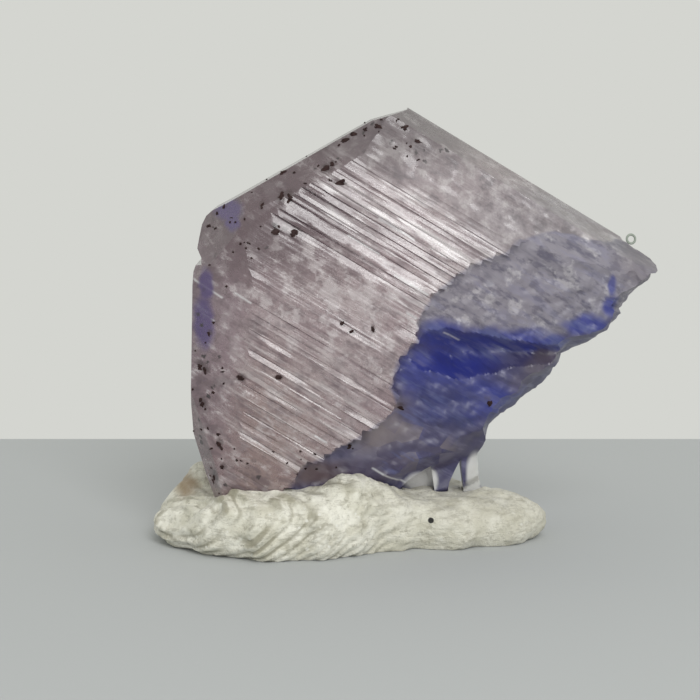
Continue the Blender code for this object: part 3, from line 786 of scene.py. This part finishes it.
CURVE_REACH = 20.0


class Finish:
    """A material built node by node."""

    def __init__(self, name):
        self.material = bpy.data.materials.new(name)
        self.material.use_nodes = True
        self.tree = self.material.node_tree
        self.shader = self.tree.nodes["Principled BSDF"]
        self.output = self.tree.nodes["Material Output"]

    def node(self, kind, **settings):
        node = self.tree.nodes.new(kind)
        for key, value in settings.items():
            setattr(node, key, value)
        return node

    def feed(self, socket, value):
        if isinstance(value, bpy.types.NodeSocket):
            self.tree.links.new(value, socket)
        else:
            socket.default_value = value

    def math(self, operation, first, second=0.0, clamp=False):
        node = self.node("ShaderNodeMath", operation=operation, use_clamp=clamp)
        self.feed(node.inputs[0], first)
        self.feed(node.inputs[1], second)
        return node.outputs[0]

    def times(self, first, second):
        return self.math("MULTIPLY", first, second)

    def plus(self, first, second):
        return self.math("ADD", first, second)

    def less(self, first, second):
        return self.math("SUBTRACT", first, second)

    def most(self, first, second):
        return self.math("MAXIMUM", first, second)

    def vector(self, operation, first, second):
        node = self.node("ShaderNodeVectorMath", operation=operation)
        self.feed(node.inputs[0], first)
        self.feed(node.inputs[1], second)
        return node.outputs["Value"] if operation in ("LENGTH", "DISTANCE") else node.outputs["Vector"]

    def ramp(self, value, low, high):
        node = self.node("ShaderNodeMapRange", interpolation_type="SMOOTHSTEP")
        self.feed(node.inputs["Value"], value)
        node.inputs["From Min"].default_value = low
        node.inputs["From Max"].default_value = high
        return node.outputs["Result"]

    def between(self, value, low, high, soft):
        """One between two values and nothing outside them, softly."""
        return self.times(self.ramp(value, low - soft, low + soft), self.ramp(value, high + soft, high - soft))

    def curve(self, value, rows):
        """Height over a polyline in mm, within CURVE_REACH both ways."""
        width = 2 * CURVE_REACH
        node = self.node("ShaderNodeFloatCurve")
        places = [((x + CURVE_REACH) / width, (y + CURVE_REACH) / width) for x, y in sorted(rows)]
        points = node.mapping.curves[0].points
        points[0].location, points[1].location = places[0], places[-1]
        for place in places[1:-1]:
            points.new(*place)
        for point in points:
            point.handle_type = "VECTOR"
        node.mapping.update()
        self.feed(node.inputs["Value"], self.times(self.plus(value, CURVE_REACH), 1 / width))
        return self.less(self.times(node.outputs["Value"], width), CURVE_REACH)

    def axis(self, coords, name):
        node = self.node("ShaderNodeSeparateXYZ")
        self.feed(node.inputs[0], coords)
        return node.outputs[name]

    def mapping(self, coords, location=(0, 0, 0), rotation=(0, 0, 0), scale=(1, 1, 1)):
        node = self.node("ShaderNodeMapping")
        self.feed(node.inputs["Vector"], coords)
        node.inputs["Location"].default_value = location
        node.inputs["Rotation"].default_value = rotation
        node.inputs["Scale"].default_value = scale
        return node.outputs["Vector"]

    def object_mm(self):
        """Object coordinates in millimetres, from the crystal's tip."""
        coords = self.node("ShaderNodeTexCoord").outputs["Object"]
        return self.mapping(coords, location=tuple(-TIP / MM), scale=(1 / MM,) * 3)

    def prism_mm(self):
        """Object coordinates in millimetres, turned to run along the prism, across it and out of its front."""
        coords = self.node("ShaderNodeTexCoord").outputs["Object"]
        inward = PRISM_FRAME.inverted()
        shift, turn = tuple(inward.translation / MM), tuple(inward.to_euler())
        return self.mapping(coords, location=shift, rotation=turn, scale=(1 / MM,) * 3)

    def noise(self, coords, scale, detail=2.0, roughness=0.5):
        node = self.node("ShaderNodeTexNoise")
        self.feed(node.inputs["Vector"], coords)
        node.inputs["Scale"].default_value = scale
        node.inputs["Detail"].default_value = detail
        node.inputs["Roughness"].default_value = roughness
        return node

    def cloud(self, coords, *settings):
        """Noise as one number: its scale, detail and roughness."""
        return self.noise(coords, *settings).outputs["Fac"]

    def voronoi(self, coords, scale, output):
        node = self.node("ShaderNodeTexVoronoi")
        self.feed(node.inputs["Vector"], coords)
        node.inputs["Scale"].default_value = scale
        return node.outputs[output]

    def cells(self, coords, scale):
        """How far away the nearest of many scattered points is."""
        return self.voronoi(coords, scale, "Distance")

    def shards(self, coords, scale):
        """Angular cells, each with three random numbers of its own."""
        return self.voronoi(coords, scale, "Color")

    def warped(self, coords, scale, amount):
        """Coordinates pushed about by noise, so that edges wander."""
        wander = self.vector("SUBTRACT", self.noise(coords, scale, 3.0).outputs["Color"], (0.5, 0.5, 0.5))
        return self.vector("ADD", coords, self.vector("MULTIPLY", wander, (amount, amount, amount)))

    def mix(self, share, first, second):
        node = self.node("ShaderNodeMix", data_type="RGBA")
        self.feed(node.inputs[0], share)
        self.feed(node.inputs[6], first)
        self.feed(node.inputs[7], second)
        return node.outputs[2]

    def tinted(self, colour, share, amount, target):
        """A colour with another laid over it where its share says so."""
        return self.mix(self.math("MULTIPLY", share, amount, clamp=True), colour, srgb(*target))

    def spot(self, coords, centre, radii, soft=0.35):
        """One inside an ellipsoid and nothing outside it."""
        offset = self.vector("SUBTRACT", coords, tuple(centre))
        scaled = self.vector("DIVIDE", offset, tuple(radii))
        return self.ramp(self.vector("LENGTH", scaled, (0, 0, 0)), 1 + soft, 1 - soft)

    def spots(self, coords, rows, soft=0.35):
        """The strongest of many spots."""
        found = None
        for centre, radii in rows:
            one = self.spot(coords, centre, radii, soft)
            found = one if found is None else self.most(found, one)
        return found

    def bump(self, height, strength, distance, below=None):
        node = self.node("ShaderNodeBump")
        node.inputs["Strength"].default_value = strength
        node.inputs["Distance"].default_value = distance
        self.feed(node.inputs["Height"], height)
        if below is not None:
            self.feed(node.inputs["Normal"], below)
        return node.outputs["Normal"]


# Dark graphite specks seen on the front: pixel, then half width and half height in pixels.
GRAPHITE_SPECKS = [
    (281, 197, 4, 6), (290, 197, 4, 7), (276, 232, 5, 4), (295, 232, 6, 5), (326, 168, 6, 6), (340, 183, 6, 3),
    (332, 165, 5, 3), (354, 134, 5, 4), (365, 130, 5, 3), (378, 126, 6, 3), (417, 141, 7, 4), (404, 127, 5, 3),
    (346, 140, 6, 3), (310, 151, 5, 3), (208, 226, 5, 3), (224, 207, 3, 4), (342, 323, 3, 3), (352, 331, 3, 3),
    (373, 329, 3, 4), (209, 334, 3, 3), (200, 366, 5, 4), (205, 371, 4, 4), (241, 378, 5, 4), (202, 404, 4, 5),
    (219, 444, 4, 5), (279, 377, 4, 3), (490, 403, 4, 4), (350, 446, 4, 3), (214, 478, 3, 6), (222, 467, 4, 3),
    (401, 408, 6, 3), (283, 172, 4, 3), (262, 205, 3, 4)]
# Other zones seen on the crystal, given in the same way.
VIOLET_PATCHES = [(204, 322, 10, 25), (226, 210, 15, 11), (206, 285, 7, 16), (232, 222, 8, 8)]
DEEP_BLUE = [
    (450, 365, 44, 22), (505, 338, 40, 13), (545, 344, 26, 9), (425, 372, 28, 26), (470, 350, 30, 22),
    (440, 335, 22, 16), (405, 420, 16, 22), (585, 322, 22, 8), (612, 305, 9, 9), (430, 405, 22, 14),
    (611, 286, 4, 9), (480, 398, 38, 20), (400, 462, 20, 9)]
PALE_FEET = [(418, 478, 15, 12), (428, 476, 9, 13), (474, 470, 9, 24), (472, 492, 12, 10)]
FLECKED = [
    (230, 200, 50, 40), (300, 165, 60, 30), (370, 130, 60, 18), (205, 390, 22, 90), (225, 465, 30, 30),
    (250, 240, 40, 30), (420, 150, 40, 16), (300, 470, 60, 20)]
SPLINTERED = [(385, 430, 34, 34), (420, 445, 34, 24), (365, 462, 26, 16)]
# The stone's two main tones.
MAUVE = (161, 138, 143)
PALE_MAUVE = (192, 176, 178)
# Broad tints on the grown faces: pixel, radii in mm, strength and colour.
TINTS = [
    ((225, 450), (4.0, 9.0, 3.6), 0.9, (158, 132, 128)),
    ((205, 320), (1.5, 9.0, 7.5), 0.6, (138, 116, 130)),
    ((262, 215), (4.2, 9.0, 2.6), 0.9, (112, 90, 98)),
    ((375, 130), (5.2, 9.0, 1.6), 0.95, (100, 84, 90)),
    ((580, 228), (4.2, 9.0, 1.9), 0.8, (152, 145, 153)),
]
# Zones that stay dark over the veils and streaks, and zones on the break, given in the same way.
DARK_ZONES = [((360, 132), (5.0, 9.0, 1.3), 0.55, (88, 68, 74)), ((246, 205), (3.2, 9.0, 2.2), 0.55, (94, 72, 80))]
BREAK_TINTS = [
    ((378, 424), (1.6, 9.0, 1.1), 0.85, (148, 136, 140)),
    ((554, 362), (0.5, 9.0, 0.35), 0.7, (116, 104, 112)),
    ((540, 373), (0.5, 9.0, 0.4), 0.7, (112, 102, 114)),
    ((522, 388), (0.5, 9.0, 0.4), 0.6, (96, 88, 112)),
    ((440, 408), (1.7, 9.0, 0.9), 0.6, (48, 50, 108)),
    ((312, 476), (1.6, 9.0, 0.6), 0.9, (112, 92, 96)),
    ((648, 268), (1.1, 9.0, 0.9), 0.6, (130, 120, 128)),
    ((375, 472), (1.6, 9.0, 0.5), 0.8, (70, 58, 92)),
]
# White glints on ledges of the front, in mm: (start and end along the prism, place across it).
GLINTS = [
    (10.7, 12.4, -4.34), (10.3, 11.1, 1.95), (8.5, 9.0, 1.95), (7.9, 8.5, -4.2), (4.9, 6.4, 3.4), (5.6, 7.3, 4.6),
    (7.3, 8.9, 3.0), (0.5, 1.9, -1.36), (2.2, 3.0, -0.9), (1.2, 1.75, -2.2), (1.5, 2.1, -2.35)]
# Where the grey shelf of the break ends and the blue begins, in mm: (along, across).
SHELF_EDGE = [(8.0, 1.2), (9.5, 1.9), (11.6, 2.9), (14.0, 3.8), (15.6, 5.6), (17.0, 6.8)]

# The crystal's broad zones on its front in mm, where painted highlights and shade lie along the striations: (from, to)
# along the prism and (from, to) across it.
UPPER_ZONE = (2.6, 12.0, 1.4, 6.1)
LOWER_ZONE = (3.6, 12.0, -6.2, -0.6)
MIDDLE_ZONE = (2.4, 12.0, -1.2, 2.6)
GLINT_HALF_WIDTH = 0.03

# The crystal's patterns: coordinates, shift, stretch, and the noise's scale, detail and roughness.
CRYSTAL_NOISES = {
    "streaks": ("prism", (0, 0, 0), (0.4, 2.7, 0.3), (1.0, 4.0, 0.62)),
    "lines": ("prism", (4, 2, 1), (0.34, 7.5, 0.3), (1.0, 4.0, 0.6)),
    "bands": ("prism", (1, 7, 3), (0.17, 1.35, 0.3), (1.0, 3.0, 0.5)),
    "blotch": ("prism", (3, 5, 8), (1.5, 3.2, 1.5), (1.0, 5.0, 0.62)),
    "mottle": ("place", (0, 0, 0), (1, 1, 1), (1.25, 6.0, 0.66)),
    "shade": ("place", (7, 3, 5), (1, 1, 1), (0.9, 6.0, 0.7)),
    "clouds": ("place", (0, 0, 0), (1, 1, 1), (0.42, 4.0, 0.6)),
}
# Tints by name: strength and colour. The white streaks on the striated zones and the light upper band are painted
# highlights, and the dark lines between the striations are painted shade.
CRYSTAL_TINTS = {
    "brown mottle": (0.7, (106, 86, 94)), "dark blotch": (0.6, (112, 92, 98)), "veil": (0.22, (226, 216, 218)),
    "clot": (0.6, (240, 232, 234)), "middle veil": (0.6, (226, 216, 218)), "upper zone highlight": (0.12, (206, 188, 194)),
    "upper striation highlight": (0.92, (254, 247, 249)), "lower striation highlight": (0.55, (232, 222, 222)),
    "striation shade": (0.5, (122, 98, 106)), "frosting": (0.5, (174, 163, 168)), "dull frosting": (0.75, (120, 110, 116)),
    "bright frosting": (0.65, (228, 222, 222)), "break": (0.92, (62, 62, 114)), "shelf": (1.0, (158, 153, 166)),
    "pale shelf mottle": (0.75, (208, 204, 210)), "dark shelf blotch": (0.7, (104, 100, 122)),
    "deep blue": (0.95, (46, 58, 160)), "lit facet": (0.25, (156, 156, 194)), "shaded facet": (0.3, (48, 48, 92)),
    "grey shard": (0.85, (136, 126, 134)), "deep shard": (0.7, (50, 46, 102)), "bright shard": (0.45, (164, 158, 176)),
    "combed blue": (0.55, (104, 114, 172)), "glint": (0.95, (250, 250, 252)), "violet": (0.9, (84, 62, 130)),
    "pale foot": (1.0, (246, 246, 244)), "fleck": (0.9, (34, 22, 26)), "speck": (0.7, (66, 44, 46)),
}
PUTTY_TINTS = {
    # The crease tint is painted shade in the finger-ridge troughs.
    "grime": (0.6, (148, 143, 124)), "worked": (0.45, (152, 147, 128)), "crease_shade": (0.75, (150, 145, 124)),
    # The right end tint is painted shade on the putty's right side.
    "chalk": (0.85, (246, 245, 236)), "shaded right end": (0.4, (196, 192, 176)), "fold": (0.9, (160, 136, 104)),
    "speck": (1.0, (24, 22, 22)),
}
# Single places on the putty: pixel and depth, how their edge strays, radii in mm and softness.
PUTTY_SPOTS = [
    # Painted shade on the putty's right end.
    ("shaded right end", (500, 505, -3.0), (0.8, 0.8), (4.0, 9.0, 2.4), 0.7),
    ("fold", (190, 486, 1.5), (1.5, 0.5), (0.55, 1.6, 0.45), 0.5),
    ("speck", (431, 521, -2.6), (6.0, 0.10), (0.12, 1.2, 0.11), 0.2),
]


def from_tip(u, v, depth=-3.0):
    """A pixel's place on an upright plane, in mm from the crystal's tip."""
    return (on_plane(u, v, depth) - TIP) / MM


def seen_rows(rows, depth, thickness):
    """Spots given by pixel, as centres and radii in mm from the crystal's tip."""
    return [
        (from_tip(u, v, depth), (half_width / PIXELS_PER_MM, thickness, half_height / PIXELS_PER_MM))
        for u, v, half_width, half_height in rows]


def break_share(finish, prism):
    """One on the broken end and nothing on the grown faces."""
    along, across, front = (finish.axis(prism, name) for name in "XYZ")
    in_front, behind = (
        finish.curve(across, [(w, far) for far, w in line]) for line in (FRONT_BREAK_LINE, BACK_BREAK_LINE))
    facing = finish.ramp(front, -0.6, 0.4)
    start = finish.plus(finish.times(in_front, facing), finish.times(behind, finish.less(1.0, facing)))
    return finish.ramp(finish.less(along, start), -0.12, 0.22)


def patch(finish, along, across, spans, soft=0.4):
    """One inside a soft rectangle on the prism's front, nothing outside it."""
    return finish.times(finish.between(along, *spans[:2], soft), finish.between(across, *spans[2:], soft))


def crystal_layers(finish):
    """The masks and patterns that the crystal's colour, roughness and relief share."""
    prism, place = finish.prism_mm(), finish.object_mm()
    layers = {"prism": prism, "place": place, "wander": finish.warped(place, 0.55, 1.1)}
    for name, (coords, shift, stretch, settings) in CRYSTAL_NOISES.items():
        layers[name] = finish.cloud(finish.mapping(layers[coords], shift, scale=stretch), *settings)
    layers["in front"] = finish.ramp(finish.axis(prism, "Z"), -0.9, -0.5)
    layers["broken"] = break_share(finish, finish.warped(prism, 1.8, 0.25))
    near = finish.warped(prism, 1.1, 0.6)
    above = finish.less(finish.axis(near, "Y"), finish.curve(finish.axis(near, "X"), SHELF_EDGE))
    layers["shelf"] = finish.times(layers["broken"], finish.ramp(above, -0.25, 0.35))
    strayed = finish.warped(prism, 0.6, 1.3)
    along, across = finish.axis(strayed, "X"), finish.axis(strayed, "Y")
    tilted = finish.plus(across, finish.times(along, 0.45))
    layers["upper"] = finish.times(patch(finish, along, across, UPPER_ZONE), finish.ramp(tilted, 5.0, 5.9))
    layers["lower"] = patch(finish, along, across, LOWER_ZONE)
    layers["middle"] = patch(finish, along, across, MIDDLE_ZONE)
    layers["frosty"] = finish.times(finish.ramp(across, 5.7, 6.7), finish.ramp(finish.axis(prism, "Y"), 8.6, 8.2))
    layers["flecks"] = finish.cells(finish.warped(finish.mapping(place, (2, 9, 4)), 4.0, 0.3), 1.5)
    return layers


def crystal_colour(finish, layers):
    """Mauve stone with brown, violet and blue zones, pale veils and graphite specks, painted highlights and shade
    along the striations, painted glints, and painted lit and shaded facets on the break.
    """
    prism, place, wander, broken = (layers[name] for name in ("prism", "place", "wander", "broken"))
    times, ramp = finish.times, finish.ramp
    colour = finish.mix(ramp(layers["clouds"], 0.35, 0.68), srgb(*MAUVE), srgb(*PALE_MAUVE))

    def tint(name, *shares):
        """Lays a named tint over the colour where all its masks are."""
        nonlocal colour
        share = shares[0]
        for other in shares[1:]:
            share = times(share, other)
        colour = finish.tinted(colour, share, *CRYSTAL_TINTS[name])

    def zones(rows, soft, within=1.0):
        """Lays the broad tints of a list over the colour."""
        nonlocal colour
        for (u, v), radii, amount, target in rows:
            spot = times(finish.spot(wander, from_tip(u, v), radii, soft), within)
            colour = finish.tinted(colour, spot, amount, target)

    def level(name, low, high):
        """How far a pattern has risen, or fallen where the first value is the higher one."""
        return ramp(layers[name], low, high)

    zones(TINTS, 0.6)
    tint("brown mottle", level("shade", 0.51, 0.66))
    tint("dark blotch", level("blotch", 0.50, 0.38))
    tint("veil", level("mottle", 0.50, 0.64))
    tint("clot", level("blotch", 0.52, 0.66), level("mottle", 0.40, 0.60))
    tint("middle veil", level("mottle", 0.50, 0.64), layers["middle"])
    # Painted highlights on the striations: white where the striation pattern rises, within the striated zones.
    both = finish.most(level("streaks", 0.49, 0.58), times(level("lines", 0.47, 0.62), 0.5))
    both = times(both, level("bands", 0.43, 0.53))
    # A faint painted highlight over the whole upper striated zone.
    tint("upper zone highlight", layers["upper"])
    tint("upper striation highlight", both, layers["upper"])
    tint("lower striation highlight", both, layers["lower"])
    # Painted shade in the grooves between the striations.
    tint("striation shade", level("lines", 0.44, 0.34), finish.most(layers["upper"], layers["lower"]))
    tint("frosting", layers["frosty"])
    tint("dull frosting", level("mottle", 0.48, 0.36), layers["frosty"])
    tint("bright frosting", level("mottle", 0.46, 0.66), layers["frosty"])
    zones(DARK_ZONES, 0.6)

    tint("break", broken)
    tint("shelf", layers["shelf"])
    tint("pale shelf mottle", layers["shelf"], level("mottle", 0.53, 0.62))
    tint("dark shelf blotch", layers["shelf"], level("blotch", 0.50, 0.40))
    blue = times(finish.spots(wander, seen_rows(DEEP_BLUE, -1.5, 9.0), 0.45), broken)
    tint("deep blue", blue)
    facets = finish.cloud(finish.mapping(prism, rotation=(0, 0, -0.5), scale=(0.5, 2.4, 0.6)), 1.0, 4.0, 0.6)
    tint("lit facet", ramp(facets, 0.52, 0.62), broken)
    tint("shaded facet", ramp(facets, 0.46, 0.36), broken)
    under = times(finish.spots(wander, seen_rows(SPLINTERED, -1.0, 9.0), 0.4), broken)
    turned_place = finish.mapping(place, rotation=(0, 0.5, 0), scale=(0.85, 0.4, 1.25))
    shards = finish.shards(finish.warped(turned_place, 1.2, 0.1), 1.0)
    tint("grey shard", ramp(finish.axis(shards, "X"), 0.48, 0.54), under)
    tint("deep shard", ramp(finish.axis(shards, "Y"), 0.6, 0.66), under)
    tint("bright shard", ramp(finish.axis(shards, "Z"), 0.72, 0.76), under)
    zones(BREAK_TINTS, 0.5, broken)
    tint("combed blue", level("streaks", 0.50, 0.62), blue)

    along, across = finish.axis(prism, "X"), finish.axis(prism, "Y")
    for start, end, middle in GLINTS:
        spans = (start, end, middle - GLINT_HALF_WIDTH, middle + GLINT_HALF_WIDTH)
        tint("glint", patch(finish, along, across, spans, 0.05), layers["in front"])
    tint("violet", finish.spots(finish.warped(place, 2.2, 0.28), seen_rows(VIOLET_PATCHES, -2.4, 3.0), 0.35))
    tint("pale foot", finish.spots(finish.warped(place, 2.2, 0.15), seen_rows(PALE_FEET, 0.5, 4.0), 0.25))
    tint("fleck", level("flecks", 0.20, 0.11), finish.spots(wander, seen_rows(FLECKED, -2.0, 9.0), 0.4))
    tint("speck", finish.spots(finish.warped(place, 4.0, 0.34), seen_rows(GRAPHITE_SPECKS, -3.0, 1.4), 0.5))
    return colour


def tanzanite_finish():
    """Clear violet stone: glossy grown faces, frosty and broken ones duller, absorption inside."""
    finish = Finish("tanzanite")
    shader = finish.shader
    layers = crystal_layers(finish)
    times, plus = finish.times, finish.plus
    finish.feed(shader.inputs["Base Color"], crystal_colour(finish, layers))
    worn = times(finish.ramp(layers["shade"], 0.35, 0.7), 0.16)
    rough = plus(plus(times(layers["frosty"], 0.18), worn), times(layers["broken"], 0.16))
    finish.feed(shader.inputs["Roughness"], plus(rough, 0.22))
    shader.inputs["IOR"].default_value = 1.69
    shader.inputs["Transmission Weight"].default_value = 0.45
    finish.feed(shader.inputs["Coat Weight"], finish.less(0.6, times(layers["broken"], 0.52)))
    shader.inputs["Coat Roughness"].default_value = 0.12
    grown = finish.less(1.0, times(layers["broken"], 0.6))
    pits = times(finish.cloud(layers["place"], 7.0, 4.0, 0.65), grown)
    relief = finish.bump(layers["lines"], 0.45, 0.00005)
    finish.feed(shader.inputs["Normal"], finish.bump(pits, 0.35, 0.00004, relief))
    absorption = finish.node("ShaderNodeVolumeAbsorption")
    absorption.inputs["Color"].default_value = (0.78, 0.66, 0.84, 1.0)
    absorption.inputs["Density"].default_value = 35.0
    finish.tree.links.new(absorption.outputs["Volume"], finish.output.inputs["Volume"])
    return finish.material


def putty_finish():
    """Off-white putty with grime, chalky lots, and painted shade in its finger-ridge creases and on its right end."""
    finish = Finish("mounting putty")
    shader = finish.shader
    place = finish.object_mm()
    tone = finish.cloud(place, 0.9, 4.0, 0.6)
    grime = finish.cloud(place, 3.2, 5.0, 0.72)
    worked = finish.cloud(finish.mapping(place, rotation=(0, 0.55, 0), scale=(1.1, 1.4, 4.2)), 1.0, 5.0, 0.7)
    # Painted shade in the finger ridges' troughs, read from the mesh.
    crease_shade = finish.node("ShaderNodeAttribute", attribute_name="crease_shade").outputs["Fac"]
    chalk = finish.cells(finish.warped(place, 2.0, 0.3), 2.6)
    lots = finish.cloud(finish.mapping(place, (5, 5, 5)), 0.8, 2.0)
    chalky = finish.times(finish.ramp(chalk, 0.24, 0.12), finish.ramp(lots, 0.48, 0.60))
    layers = [
        ("grime", finish.ramp(grime, 0.50, 0.70)), ("worked", finish.ramp(worked, 0.50, 0.36)),
        ("crease_shade", finish.ramp(crease_shade, 0.1, 0.9)), ("chalk", chalky)]
    for name, pixel, strays, radii, soft in PUTTY_SPOTS:
        layers.append((name, finish.spot(finish.warped(place, *strays), from_tip(*pixel), radii, soft)))
    colour = finish.mix(finish.ramp(tone, 0.35, 0.65), srgb(220, 217, 200), srgb(248, 246, 234))
    for name, share in layers:
        colour = finish.tinted(colour, share, *PUTTY_TINTS[name])
    finish.feed(shader.inputs["Base Color"], colour)
    dull = finish.plus(0.36, finish.times(grime, 0.35))
    finish.feed(shader.inputs["Roughness"], finish.less(dull, finish.times(chalky, 0.2)))
    relief = finish.bump(finish.cloud(place, 5.0, 6.0, 0.7), 0.8, 0.00012)
    finish.feed(shader.inputs["Normal"], finish.bump(worked, 0.6, 0.00016, relief))
    shader.inputs["Coat Weight"].default_value = 0.2
    shader.inputs["Coat Roughness"].default_value = 0.25
    return finish.material


def speckled_finish(name, scale, detail, tones, roughness):
    """A plain material whose colour wanders between two tones."""
    finish = Finish(name)
    tone = finish.cloud(finish.object_mm(), scale, detail)
    finish.feed(finish.shader.inputs["Base Color"], finish.mix(tone, srgb(*tones[0]), srgb(*tones[1])))
    finish.shader.inputs["Roughness"].default_value = roughness
    return finish


def fibre_finish():
    return speckled_finish("dust fibre", 8.0, 2.0, ((120, 130, 122), (170, 176, 166)), 0.6).material


def graphite_finish():
    finish = speckled_finish("graphite", 5.0, 3.0, ((22, 12, 14), (64, 42, 40)), 0.55)
    finish.shader.inputs["Specular IOR Level"].default_value = 0.2
    return finish.material


def wear(piece, material):
    piece.data.materials.clear()
    piece.data.materials.append(material)


def plain_stage():
    """The floor, just under the putty."""
    nothing_selected()
    bpy.ops.mesh.primitive_plane_add(size=1, location=(0, -0.003, -0.00002))
    floor = bpy.context.object
    floor.name = "floor"
    floor.scale = (0.07, 0.05, 1)
    fix_place(floor)
    finish = Finish("floor")
    finish.shader.inputs["Base Color"].default_value = srgb(186, 189, 190)
    finish.shader.inputs["Roughness"].default_value = 0.8
    wear(floor, finish.material)


def soft_light(name, place, aim, size, power):
    light = bpy.data.lights.new(name, "AREA")
    light.shape = "RECTANGLE"
    light.size, light.size_y = size
    light.energy = power
    lamp = bpy.data.objects.new(name, light)
    lamp.location = place
    lamp.rotation_euler = (Vector(aim) - Vector(place)).to_track_quat("-Z", "Y").to_euler()
    bpy.context.scene.collection.objects.link(lamp)


def studio():
    """Even light from all round and one soft key light from the front."""
    world = bpy.data.worlds.new("studio")
    bpy.context.scene.world = world
    world.use_nodes = True
    back = world.node_tree.nodes["Background"]
    back.inputs["Color"].default_value = srgb(212, 213, 208)
    back.inputs["Strength"].default_value = 1.0
    soft_light("key", (0.054, -0.176, 0.129), (0, 0, 0.009), (0.08, 0.16), 0.24)
    bpy.context.scene.view_settings.view_transform = "Standard"
    bpy.context.scene.cycles.max_bounces = 8
    bpy.context.scene.cycles.transmission_bounces = 6
    bpy.context.scene.cycles.diffuse_bounces = 3
    bpy.context.scene.cycles.glossy_bounces = 3


def photo_camera():
    camera = bpy.data.cameras.new("photo_camera")
    camera.lens = LENS
    camera.sensor_width = SENSOR
    camera.clip_start = 0.001
    eye = bpy.data.objects.new("photo_camera", camera)
    back = Vector((0, -math.cos(CAMERA_RISE), math.sin(CAMERA_RISE)))
    eye.location = AIM + back * CAMERA_DISTANCE
    eye.rotation_euler = (-back).to_track_quat("-Z", "Y").to_euler()
    bpy.context.scene.collection.objects.link(eye)
    bpy.context.scene.camera = eye


def build():
    crystal = make_crystal()
    wear(crystal, tanzanite_finish())
    putty = make_putty(crystal)
    wear(putty, putty_finish())
    fibre = make_fibre()
    wear(fibre, fibre_finish())
    flakes = make_flakes(crystal)
    wear(flakes, graphite_finish())
    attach(flakes, "root")
    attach(crystal, "root")
    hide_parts("tanzanite_crystal")
    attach(putty, "root")
    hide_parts("mounting_putty")
    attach(fibre, "root")


photo_camera()
build()
plain_stage()
studio()
